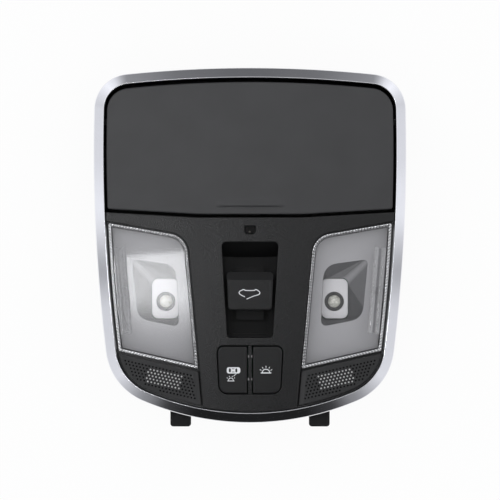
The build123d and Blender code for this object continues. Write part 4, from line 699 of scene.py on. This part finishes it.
for p, way in zip(lens_limit, sides_of(lens_limit)):
    corner_region = clip_line(corner_region, p, way)
seam_way, seam_across = (cos(seam), sin(seam)), (-sin(seam), cos(seam))
lens_outline = clip_line(corner_region, (SEAM_X, SEAM_Y + SEAM_GAP / 2), seam_way)
grille_outline = clip_line(corner_region, (SEAM_X, SEAM_Y - SEAM_GAP / 2), (-seam_way[0], -seam_way[1]))

# Lenses: clear crowned skin with two press ribs and a knurled border (inset, drop, share of the notch)
KNURL_PITCH, KNURL_DEPTH, KNURL_SLANT, KNURL_STEPS = 2.0, 0.4, 0.45, 4
RIB_WIDTH, RIB_PROUD, RIB_STEPS, RIB_ROWS, RIB_TURNS = 3.0, 0.6, 32, 48, 8
RIB_CREASES = (0.0, 0.35, 0.75, 1.2)
LENS_TIP = 1.4
BORDER = (
    (0.0, LENS_DEPTH, 0), (0.0, 0.5, 0), (0.12, 0.18, 0), (0.35, 0.02, 0.5), (0.65, -0.08, 1),
    (0.95, -0.1, 1), (1.25, -0.06, 1), (1.5, 0.05, 0.5), (1.7, 0.24, 0), (1.95, 0.24, 0), (2.15, 0.0, 0),
)
KNURL_ROWS, GROOVE_ROWS = range(3, 9), range(9, 11)
lens_outline = resampled(round_tips(lens_outline, LENS_TIP), KNURL_PITCH / KNURL_STEPS)
press_turn = radians(90 - PRESS_LEAN)
press_along = (cos(press_turn), sin(press_turn))
press_across = (-sin(press_turn), cos(press_turn))


def press_place(along, across):
    """A place on the press mark."""
    return shifted(shifted((PRESS_X, PRESS_Y), press_along, along), press_across, across)


def press_run(x, y):
    """How far a place lies along and across the press mark."""
    dx, dy = x - PRESS_X, y - PRESS_Y
    return (dx * press_along[0] + dy * press_along[1], dx * press_across[0] + dy * press_across[1])


def rib_reach(x, y):
    """How far a place lies inside the nearest press rib."""
    along, across = press_run(x, y)
    over = max(0.0, abs(along) - (PRESS_LENGTH - RIB_WIDTH) / 2)
    return RIB_WIDTH / 2 - hypot(abs(across) - PRESS_PITCH / 2, over)


def ribbed_level(x, y):
    """The crowned face with the two rounded press ribs."""
    return face_level(x, y) + RIB_PROUD * (1 - (1 - max(0.0, rib_reach(x, y)) * 2 / RIB_WIDTH) ** 2)


def rib_loop(side, inset):
    """A long slot with round ends."""
    half, radius, centre = (PRESS_LENGTH - RIB_WIDTH) / 2, RIB_WIDTH / 2 - inset, side * PRESS_PITCH / 2
    loop = []
    for end in (1, -1):
        for a in even(0, pi, RIB_TURNS):
            loop.append(press_place(end * (half + radius * sin(a)), centre - end * radius * cos(a)))
        for k in range(1, 2 * RIB_STEPS):
            loop.append(press_place(end * half * (1 - k / RIB_STEPS), centre + end * radius))
    return loop


def knurl_phase(k, inset):
    """How far a place of the border is through its slanted notch."""
    return (k / KNURL_STEPS + inset * KNURL_SLANT) % 1.0


def border_ring(inset, drop, notch):
    """A ring of the border with its notches; points that meet at a corner share one depth."""
    ring, depths = [], {}
    for k, (x, y) in enumerate(drawn_in(lens_outline, inset)):
        depth = depths.setdefault((x, y), notch * KNURL_DEPTH * abs(knurl_phase(k, inset) - 0.5) * 2)
        ring.append((x, y, face_level(x, y) - drop - depth))
    return ring


lens = Shell()
skirt = drawn_in(lens_outline, LENS_SKIRT)
inner_rings = [raised(skirt, below(drop)) for drop in (LENS_SKIN, LENS_DEPTH)]
lens.stack(inner_rings + [border_ring(*row) for row in BORDER])
lens_face = drawn_in(lens_outline, BORDER[-1][0])
well_inside = inside_outline(lens_face[::KNURL_STEPS], 0.6)
back_points = [p for p in grid(*LAMP_WINDOW, FACE_GRID) if well_inside(*p)]
face_points = [p for p in back_points if rib_reach(*p) < -PRESS_PITCH / 2]
beside = PRESS_PITCH / 2 + RIB_WIDTH / 2 + 1.2
for across in (-beside, 0.0, beside):
    row = [press_place(along, across) for along in even(-PRESS_LENGTH / 2, PRESS_LENGTH / 2, RIB_ROWS)]
    face_points += [p for p in row if well_inside(*p)]
rib_loops = [rib_loop(side, inset) for side in (-1, 1) for inset in RIB_CREASES]
face_start = len(lens.faces)
found, triangles = lens.cap(lens_face, face_points, ribbed_level, creases=rib_loops)
# The strip between the two ribs gets painted shade.
rib_faces, between_ribs_shading_faces = set(), set()
for k, t in enumerate(triangles, face_start):
    along, across = press_run(*middle(found, t))
    if rib_reach(*middle(found, t)) > 0:
        rib_faces.add(k)
    elif abs(across) < PRESS_PITCH / 2 and abs(along) < PRESS_LENGTH / 2 - 1:
        between_ribs_shading_faces.add(k)
lens.cap(skirt, back_points, below(LENS_SKIN))
around = len(lens_outline)
# Painted light on the knurl: one facet of each notch takes the bright mirror, the other painted shade.
lit_facet_faces, shaded_facet_faces = set(), set()
for row in KNURL_ROWS:
    inset = (BORDER[row - 1][0] + BORDER[row][0]) / 2
    for k in range(around):
        chosen = shaded_facet_faces if knurl_phase(k + 0.5, inset) < 0.5 else lit_facet_faces
        chosen.add((row + 1) * around + k)
# The groove inside the border gets painted shade.
groove_shading_faces = [(row + 1) * around + k for row in GROOVE_ROWS for k in range(around)]

# Lens stems: a rod under each press mark, with a boss set a little way into the lens
STEM_R, STEM_FOOT, STEM_SIDES, STEM_EDGE = 1.6, 26.3, 20, 0.4
BOSS_R, BOSS_DEPTH, BOSS_SET, BOSS_EDGE = 2.5, 3.2, 0.3, 0.2
stem_top = face_level(STEM_X, STEM_Y) - LENS_SKIN + BOSS_SET
stem_section = [(STEM_R - STEM_EDGE, STEM_FOOT), (STEM_R, STEM_FOOT + STEM_EDGE)]
stem_section += [(STEM_R, stem_top - BOSS_DEPTH - STEM_EDGE), (BOSS_R, stem_top - BOSS_DEPTH)]
stem_section += [(BOSS_R, stem_top - BOSS_EDGE), (BOSS_R - BOSS_EDGE, stem_top)]
stem = turned((STEM_X, STEM_Y), 0.0, stem_section, STEM_SIDES)
lens_looks = [(prism_lit_side, lit_facet_faces), (prism_painted_shade, shaded_facet_faces), (groove_painted_shade, groove_shading_faces)]
lens_looks += [(rib_frost, rib_faces), (between_ribs_painted_shade, between_ribs_shading_faces)]
for side in SIDES:
    body, stands_for = f"{side}_lens", [f"lens_{side}"]
    new_object(f"lamp_lens_{side}", lens, body, "clear_lens", stands_for, later=lens_looks, side=side)
    new_object(f"lens_stem_{side}", stem, body, "reflector_grey", look=stem_grey, side=side)

# Reflectors: crowned trays, each with a skewed funnel down to the emitter's carrier
FUNNEL_RIM = ((48.2, -13.2, 9.0), (46.2, -53.3, 5.0), (73.1, -47.9, 7.5), (76.9, -9.4, 4.0))
LIP_RUN, FUNNEL_WALL = 0.4, 1.0
holder_room = [
    (HOLDER_X + u * HOLDER_ROOM_X / 2, HOLDER_Y + v * HOLDER_ROOM_Y / 2, HOLDER_ROOM_R)
    for u, v in ((-1, 1), (-1, -1), (1, -1), (1, 1))
]
rim, room = rounded_loop(FUNNEL_RIM), rounded_loop(holder_room)
front_lip, back_lip = drawn_in(rim, -LIP_RUN), drawn_in(rim, -TRAY_WALL)
tray_front, tray_back = below(TRAY_DROP), below(TRAY_DROP + TRAY_WALL)
tray_edge = drawn_in(lens_outline[::KNURL_STEPS], TRAY_MARGIN)
stem_hole = circle((STEM_X, STEM_Y), STEM_HOLE_R, HOLE_SIDES)
funnel = [raised(front_lip, tray_front)]
for inset, drop in ((-0.1, 0.08), (0.1, 0.35)):
    funnel.append(raised(drawn_in(rim, inset), below(drop, tray_front)))
for inset, drop in ((0.0, 0.0), (0.0, FUNNEL_WALL), (-FUNNEL_WALL, FUNNEL_WALL)):
    funnel.append(flat(drawn_in(room, inset), FUNNEL_FLOOR_Z - drop))
funnel.append(raised(back_lip, tray_back))
tray = Shell()
tray.stack(funnel)
for loop in (tray_edge, stem_hole):
    tray.stack([raised(loop, tray_front), raised(loop, tray_back)])
in_tray, near_funnel = inside_outline(tray_edge, 1.0), inside_outline(drawn_in(rim, -2.5), 0.0)
tray_points = [
    (x, y)
    for x, y in grid(*LAMP_WINDOW, TRAY_GRID)
    if in_tray(x, y) and not near_funnel(x, y) and hypot(x - STEM_X, y - STEM_Y) > STEM_HOLE_R + 1
]
for lip, height in ((front_lip, tray_front), (back_lip, tray_back)):
    tray.cap(tray_edge, tray_points, height, [lip, stem_hole])
for side in SIDES:
    new_object(f"lamp_tray_{side}", tray, "root", "reflector_grey", [f"reflector_{side}"], side=side)

# Corner grilles: pierced block of holes in a field of blind dimples, with a bevel along the panel's edge
BEVEL_RUN, BEVEL_FALL = 2.6, 1.1
HOLE_R, HOLE_COLUMNS, HOLE_ROWS = 0.62, 10, 5
DIMPLE_R, DIMPLE_DEPTH, DIMPLE_TAPER = 0.6, 0.8, 0.8
SPOT_ROWS, SPOT_COLUMNS, SPOT_MARGIN, BEVEL_MARGIN = range(-8, 9), range(-10, 21), 1.9, 0.95
GRILLE_TIP, GRILLE_WALL, FILLER_MARGIN = 0.6, 1.6, 1.1
GRILLE_EDGE = ((0.0, GRILLE_DEPTH), (0.0, 0.3), (0.1, 0.1), (0.3, 0.0), (0.5, 0.0), (1.0, 0.0))
CREASE_START, CREASE_STOP, CREASE_STEPS = 75, 115, 119
grille_outline = resampled(round_tips(grille_outline, GRILLE_TIP), GRILLE_STEP)


def edge_distance(x, y):
    """Distance from the panel's edge of the lamp corner."""
    return (x - apex[0]) * in_a[0] + (y - apex[1]) * in_a[1]


def grille_height(x, y):
    """The crowned face with the bevel."""
    return face_level(x, y) - BEVEL_FALL * max(0.0, 1 - edge_distance(x, y) / BEVEL_RUN)


def on_grille(u, v):
    """A place along and across the rows of holes."""
    return shifted(shifted((GRILLE_X, GRILLE_Y), seam_way, u), seam_across, v)


grille_room = inside_outline(grille_outline, SPOT_MARGIN)
pierced, dimples = [], []
for j in SPOT_ROWS:
    for k in SPOT_COLUMNS:
        u = (k - (HOLE_COLUMNS - 1) / 2) * GRILLE_PITCH + (GRILLE_PITCH / 2 if j % 2 else 0.0)
        spot = on_grille(u, j * GRILLE_PITCH * sqrt(3) / 2)
        if abs(j) <= HOLE_ROWS // 2 and 0 <= k < HOLE_COLUMNS:
            pierced.append(spot)
        elif grille_room(*spot) and edge_distance(*spot) > BEVEL_RUN + BEVEL_MARGIN:
            dimples.append(spot)
grille = Shell()
grille_skirt = drawn_in(grille_outline, GRILLE_WALL)
grille_loops = [raised(grille_skirt, below(drop)) for drop in (GRILLE_SKIN, GRILLE_DEPTH)]
for inset, drop in GRILLE_EDGE:
    grille_loops.append(raised(drawn_in(grille_outline, inset), below(drop, grille_height)))
grille.stack(grille_loops)
crease_foot = shifted(apex, in_a, BEVEL_RUN)
near_edge = inside_outline(grille_outline, 1.2)
crease = [shifted(crease_foot, down_left, run) for run in even(CREASE_START, CREASE_STOP, CREASE_STEPS)]
filler = [
    (x, y)
    for x, y in grid(*GRILLE_WINDOW, GRILLE_GRID)
    if grille_room(x, y) and all(hypot(x - c[0], y - c[1]) > FILLER_MARGIN for c in pierced + dimples)
]
holes, pits = [circle(c, HOLE_R) for c in pierced], [circle(c, DIMPLE_R) for c in dimples]
grille_face = drawn_in(grille_outline, GRILLE_EDGE[-1][0])
grille.cap(grille_face, [p for p in crease if near_edge(*p)] + filler, grille_height, holes + pits)
grille.cap(grille_skirt, filler, below(GRILLE_SKIN), holes)
for loop in holes:
    grille.stack([raised(loop, grille_height), raised(loop, below(GRILLE_SKIN))])
# The blind dimples' insides are painted near black as shade.
pit_start = len(grille.faces)
for centre, loop in zip(dimples, pits):
    pit_floor = raised(circle(centre, DIMPLE_R * DIMPLE_TAPER), below(DIMPLE_DEPTH, grille_height))
    rings = grille.stack([raised(loop, grille_height), pit_floor])
    grille.faces.append(tuple(rings[-1]))
dimple_shade_looks = [(dimple_painted_shade, range(pit_start, len(grille.faces)))]
for side in SIDES:
    name, stands_for = f"corner_grille_{side}", [f"grille_{side}"]
    new_object(name, grille, "root", "grille_black", stands_for, later=dimple_shade_looks, side=side)

# Pale acoustic screens, pressed a little way into the holes
SCREEN_LENGTH, SCREEN_WIDTH, SCREEN_THICKNESS, SCREEN_GAP = 27.0, 11.0, 0.8, 0.05
PEG_R, PEG_NECK, PEG_BROW, PEG_TAPER = HOLE_R - 0.04, 0.55, 0.38, 0.6
screen_corners = [on_grille(u * SCREEN_LENGTH / 2, v * SCREEN_WIDTH / 2) for u, v in BOX_CORNERS]
screen_outline = resampled(screen_corners, SCREEN_STEP)
screen_top = below(GRILLE_SKIN + SCREEN_GAP)
screen_back = below(GRILLE_SKIN + SCREEN_GAP + SCREEN_THICKNESS)
pegs = [circle(c, PEG_R) for c in pierced]
screen = Shell()
screen.stack([raised(screen_outline, screen_top), raised(screen_outline, screen_back)])
screen.cap(screen_outline, [], screen_top, pegs)
screen.cap(screen_outline, [], screen_back)
for centre, loop in zip(pierced, pegs):
    brow = raised(circle(centre, PEG_R * PEG_TAPER), below(PEG_BROW))
    rings = screen.stack([raised(loop, screen_top), raised(loop, below(PEG_NECK)), brow])
    screen.faces.append(tuple(rings[-1]))
for side in SIDES:
    stands_for = [f"mic_screen_{side}"]
    new_object(f"acoustic_screen_{side}", screen, "root", "felt", stands_for, screen_cloth, side=side)

# Function marks: thin printed strokes, placed by the photo's pixels
PIXEL_MM, MIDDLE_PX, MIDDLE_PY = 0.65, 250, 245
INK_TOP, INK_DEPTH = 0.03, 0.05
RAY_WIDTH, ARCH_STEPS = 0.42, 12


def pixels(*points):
    """Places on the face, from the photo's view straight down."""
    return [((px - MIDDLE_PX) * PIXEL_MM, (MIDDLE_PY - py) * PIXEL_MM) for px, py in points]


def stroke_edges(path, width):
    """Pairs of points on the two edges of a ribbon along a path."""
    points = [Vector(p) for p in path]
    pairs = []
    for k, p in enumerate(points):
        before = (p - points[k - 1]).normalized() if k else (points[1] - p).normalized()
        after = (points[k + 1] - p).normalized() if k + 1 < len(points) else before
        way = before + after
        way = way.normalized() if way.length > 1e-6 else after
        out = Vector((-way.y, way.x)) * width / 2 / max(0.5, way.dot(after))
        pairs.append((p + out, p - out))
    return pairs


def printed(name, body, level, strokes, fields=()):
    """A printed mark: strokes (path, width) and filled fields (outer loop, inner loops)."""
    ink = Shell()
    top, low = level + INK_TOP, level - INK_DEPTH
    for path, width in strokes:
        pairs = stroke_edges(path, width)
        ink.column([[(*a, top), (*b, top), (*b, low), (*a, low)] for a, b in pairs])
    for outer, inners in fields:
        for z in (top, low):
            ink.cap(outer, [], lambda x, y, z=z: z, inners)
        for loop in [outer, *inners]:
            ink.stack([flat(loop, top), flat(loop, low)])
    new_object(name, ink, body, "key_black", look=print_white)


def rounded_box(x0, y0, x1, y1, r, steps=5):
    """A rounded rectangle, given in photo pixels."""
    centres = ((x1 - r, y0 + r, -90), (x1 - r, y1 - r, 0), (x0 + r, y1 - r, 90), (x0 + r, y0 + r, 180))
    found = []
    for cx, cy, start in centres:
        for a in even(radians(start), radians(start + 90), steps):
            found.append((cx + r * cos(a), cy + r * sin(a)))
    return pixels(*found)


def arch(cx, base, rx, ry):
    """Half an ellipse on its base, given in photo pixels."""
    return pixels(*[(cx - rx * cos(a), base - ry * sin(a)) for a in even(0, pi, ARCH_STEPS)])


def ray_strokes(cx, base, inner, outer, angles):
    """Short strokes round a centre, given in photo pixels."""
    ways = [(sin(radians(a)), -cos(radians(a))) for a in angles]
    return [
        (pixels(shifted((cx, base), way, inner), shifted((cx, base), way, outer)), RAY_WIDTH) for way in ways
    ]


sunroof_path = pixels(
    (246.6, 299.0), (250.4, 297.3), (254.2, 295.8), (257.2, 295.0), (259.2, 294.2), (259.9, 292.8),
    (259.2, 291.3), (257.4, 290.1), (255.6, 289.3), (254.6, 290.3), (249.8, 290.5), (245.0, 290.3),
    (244.0, 289.3), (242.0, 290.0), (239.9, 291.1), (239.0, 292.5), (239.8, 294.0), (241.6, 295.2),
    (244.8, 296.7),
)
printed("sunroof_mark", "sunroof_key", KNOB_TOP_Z, [(sunroof_path, 0.5)])

room_strokes = [(pixels((260.7, 372.7), (271.2, 372.7)), 0.65), (arch(265.95, 372.4, 3.7, 3.4), 0.55)]
room_strokes += ray_strokes(265.95, 372.6, 5.2, 6.9, (-62, -33, 0, 33, 62))
printed("room_lamp_mark", "room_button", BUTTON_TOP_Z, room_strokes)

car_field = rounded_box(226.8, 367.0, 240.3, 373.3, 2.2)
car_gaps = [
    rounded_box(228.9, 368.2, 230.9, 372.1, 0.8, 3),
    rounded_box(235.4, 368.2, 237.3, 372.1, 0.8, 3),
    rounded_box(231.7, 368.3, 234.6, 368.9, 0.25, 2),
    rounded_box(231.7, 371.4, 234.6, 372.0, 0.25, 2),
]
door_strokes = [(pixels((236.4, 373.4), (233.6, 376.0)), 0.42)]
door_strokes += [(pixels((227.4, 380.7), (234.4, 380.7)), 0.45), (arch(230.9, 380.5, 2.5, 2.7), 0.42)]
door_strokes += ray_strokes(230.9, 380.7, 4.0, 5.2, (-50, -18, 18, 50))
printed("door_lamp_mark", "door_button", BUTTON_TOP_Z, door_strokes, [(car_field, car_gaps)])

# Map lamp emitters: dark cupped ring round a clear dome
LED_X, LED_Y, LED_FOOT_Z, LED_SIDES = 55.1, -36.9, 27.05, 40
LED_DOME_R, LED_DOME_FOOT, LED_DOME_RISE, LED_DOME_STEPS = 4.15, 0.95, 3.2, 8
ring_section = [(6.3, 0.0), (6.3, 1.3), (6.15, 1.55), (5.9, 1.6), (4.7, 0.95), (4.2, 0.9)]
dome_turns = even(0, pi / 2, LED_DOME_STEPS)[:-1]
dome_section = [(LED_DOME_R * cos(a), LED_DOME_FOOT + LED_DOME_RISE * sin(a)) for a in dome_turns]
led_ring = turned((LED_X, LED_Y), LED_FOOT_Z, ring_section, LED_SIDES)
led_dome = turned((LED_X, LED_Y), LED_FOOT_Z, dome_section, LED_SIDES)
for side in SIDES:
    new_object(f"lamp_dome_{side}", led_dome, "root", "emitter", [f"map_led_{side}"], side=side)
    new_object(f"lamp_ring_{side}", led_ring, "root", "housing_black", look=lamp_ring, side=side)

# Silicone domes: a soft turned dome at each lens and button
DOME_R, DOME_TOP_R, DOME_FOOT, DOME_HEIGHT, DOME_SIDES = 4.0, 2.4, 1.0, 5.2, 32
FOOT_EDGE, TOP_EDGE = 0.15, 0.2
LENS_KEEP, BUTTON_KEEP = 0.65, 0.7
rubber_section = [(DOME_R - FOOT_EDGE, 0.0), (DOME_R, FOOT_EDGE), (DOME_R, DOME_FOOT)]
rubber_section += [(DOME_TOP_R, DOME_HEIGHT - DOME_FOOT), (DOME_TOP_R, DOME_HEIGHT - TOP_EDGE)]
rubber_section += [(DOME_TOP_R - TOP_EDGE, DOME_HEIGHT)]
for node, joint, keep in (
    ("map_dome_left", "left_lens_press", LENS_KEEP),
    ("map_dome_right", "right_lens_press", LENS_KEEP),
    ("door_lamp_dome", "door_button_press", BUTTON_KEEP),
    ("room_lamp_dome", "room_button_press", BUTTON_KEEP),
):
    low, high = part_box(node)
    foot = ((low[0] + high[0]) / 2, (low[1] + high[1]) / 2, low[2])
    rubber = turned((foot[0] / MM, foot[1] / MM), foot[2] / MM, rubber_section, DOME_SIDES)
    piece = new_object(f"rubber_{node}", rubber, "root", "silicone", [node])
    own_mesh(piece)

# Mood lamp: small pale light outlet on the guide
MOOD_X, MOOD_Y, MOOD_Z, MOOD_SIDES = -0.2, 8.55, 45.4, 24
mood_section = [(0.75, -0.5), (0.75, 0.1), (0.55, 0.3), (0.25, 0.4)]
mood = turned((MOOD_X, MOOD_Y), MOOD_Z, mood_section, MOOD_SIDES)
new_object("mood_outlet", mood, "root", "clear_lens", look=mood_pale)

# Pale nubs beside the bar between the buttons, their section given as inset and height
NUB_HALF_X, NUB_HALF_Y, NUB_TIP = 0.42, 0.75, 0.25
NUB_SECTION = ((0.0, 44.6), (0.0, 46.75), (0.12, 46.95))
nub_places = pixels((248.4, 356.3), (251.8, 356.3), (248.4, 379.1), (251.8, 379.1))
for number, (x, y) in enumerate(nub_places, 1):
    loops = []
    for inset, z in NUB_SECTION:
        box = [(x + u * (NUB_HALF_X - inset), y + v * (NUB_HALF_Y - inset)) for u, v in BOX_CORNERS]
        loops.append(flat(round_tips(box, NUB_TIP), z))
    new_object(f"button_nub_{number}", Shell().column(loops), "root", "white_plastic", look=nub_grey)

# Studio, in metres: pale floor, even world light, soft lamps, and cards that are seen in mirrors alone
FLOOR_HALF, FLOOR_DROP, FLOOR_GLOW = 6.0, 0.0004, 0.94
COOL_WHITE = (0.97, 0.98, 1.0, 1)
scene = bpy.context.scene
scene.view_settings.view_transform = "Standard"


def sheet_mesh(name, corners, material, faces=None):
    """A stage sheet."""
    mesh = bpy.data.meshes.new(name)
    mesh.from_pydata(corners, [], faces or [tuple(range(len(corners)))])
    mesh.materials.append(material)
    made = bpy.data.objects.new(name, mesh)
    scene.collection.objects.link(made)
    return made


# Floor: white that keeps the shadow and shows as white in mirrors too
floor = Look("studio_floor", {"Base Color": (0.9, 0.9, 0.9, 1), "Roughness": 0.9})
rays = floor.add("LightPath")
seen = floor.add("Math", {0: rays["Is Camera Ray"], 1: rays["Is Glossy Ray"]}, "MAXIMUM")["Value"]
seen = floor.add("Math", {0: seen, 1: rays["Is Transmission Ray"]}, "MAXIMUM")["Value"]
share = floor.add("Math", {0: seen, 1: FLOOR_GLOW}, "MULTIPLY")["Value"]
floor.blend(share, floor.add("Emission", {"Color": (1, 1, 1, 1)})["Emission"])
floor_corners = [(u * FLOOR_HALF, v * FLOOR_HALF, -FLOOR_DROP) for u, v in BOX_CORNERS]
sheet_mesh("studio_floor", floor_corners, floor.made)


def mirror_sheet(corners, look, faces=None):
    """A glowing sheet, hidden from everything but mirrors."""
    look.feed({"Base Color": (0, 0, 0, 1), "Specular IOR Level": 0.0})
    made = sheet_mesh(look.made.name, corners, look.made, faces)
    made.visible_camera = made.visible_diffuse = False
    made.visible_shadow = made.visible_transmission = False


def card(name, corners, near, far, start, stop, curve=1.0):
    """A card whose brightness changes along Y."""
    look = Look(name, {"Emission Color": COOL_WHITE})
    along = look.add("SeparateXYZ", {"Vector": look.place()})["Y"]
    share = look.add("Math", {0: look.spread(along, 0.0, 1.0, start, stop), 1: curve}, "POWER")["Value"]
    look.feed({"Emission Strength": look.spread(share, near, far, 0.0, 1.0)})
    mirror_sheet(corners, look)


# Screen round the object: angle from the far side and brightness, the same on the left and the right.
# A grey backdrop, a soft box at each far corner, a slim dark stand at each side, a black curtain in front
STUDIO = (
    (0, 0.14), (8, 0.18), (21, 0.45), (33, 0.85), (45, 1.05), (62, 0.82), (76, 0.7), (86, 0.78),
    (90.5, 0.97), (94.5, 0.33), (97, 0.74), (124, 0.8), (147, 0.36), (154, 0.27), (158.5, 0.05),
    (166, 0.015),
)
RING_R, RING_HEIGHT, RING_SIDES = 1.3, 0.95, 96
RING_TINT = (0.97, 0.98, 1.03)
ring_look = Look("studio_ring", {"Emission Strength": 1.0})
parts = ring_look.add("SeparateXYZ", {"Vector": ring_look.place()})
across = ring_look.add("Math", {0: parts["X"]}, "ABSOLUTE")["Value"]
angle = ring_look.add("Math", {0: across, 1: parts["Y"]}, "ARCTAN2")["Value"]
stops = [(turn / 180, scaled(RING_TINT, light)) for turn, light in STUDIO]
ring_look.feed({"Emission Color": ring_look.ramp(ring_look.spread(angle, 0.0, 1.0, 0.0, pi), stops)})
ring_loop = circle((0, 0), RING_R, RING_SIDES)
studio_ring = Shell()
studio_ring.stack([flat(ring_loop, 0), flat(ring_loop, RING_HEIGHT)])
mirror_sheet(studio_ring.verts, ring_look, studio_ring.faces)

# Level cards overhead
above = ((-0.9, -1.2), (0.9, -1.2), (0.9, 0.9), (-0.9, 0.9))
wash = ((-0.5, -0.2), (-0.125, -0.2), (-0.125, -0.004), (-0.5, -0.02))
haze = ((-0.5, -0.02), (-0.125, -0.004), (-0.125, 0.03), (-0.5, 0.06))
card("card_above", flat(above, 1.75), 0.0, 1.0, -0.14, 0.06)
card("card_wash", flat(wash, 1.6), 0.0, 13.5, -0.125, -0.06, 2.0)
card("card_haze", flat(haze, 1.6), 2.0, 2.0, 0.0, 1.0)

world = bpy.data.worlds.new("studio_world")
scene.world = world
world.use_nodes = True
background = world.node_tree.nodes["Background"]
background.inputs["Color"].default_value = COOL_WHITE
background.inputs["Strength"].default_value = 0.85

LAMP_TARGET = (0, 0, 0.04)


def area_lamp(name, place, size, radiance):
    """A square soft box of a stated brightness, turned to the object."""
    data = bpy.data.lights.new(name, "AREA")
    data.shape = "RECTANGLE"
    data.size = data.size_y = size
    data.energy = radiance * pi * size * size
    made = bpy.data.objects.new(name, data)
    scene.collection.objects.link(made)
    made.location = place
    way = Vector(LAMP_TARGET) - Vector(place)
    made.rotation_euler = way.to_track_quat("-Z", "Y").to_euler()
    made.visible_camera = False


area_lamp("key_box", (-1.3, 0.9, 1.7), 1.0, 0.9)
area_lamp("fill_box", (1.5, -0.2, 1.5), 0.8, 0.45)

CAMERA_REACH, VIEW_WIDTH, VIEW_LEVEL, VIEW_Y, SENSOR = 2.0, 0.325, 0.045, -0.00325, 36.0
camera_data = bpy.data.cameras.new("main_camera")
camera_data.sensor_width = SENSOR
camera_data.lens = SENSOR * CAMERA_REACH / VIEW_WIDTH
camera = bpy.data.objects.new("main_camera", camera_data)
scene.collection.objects.link(camera)
camera.location = (0, VIEW_Y, VIEW_LEVEL + CAMERA_REACH)
scene.camera = camera
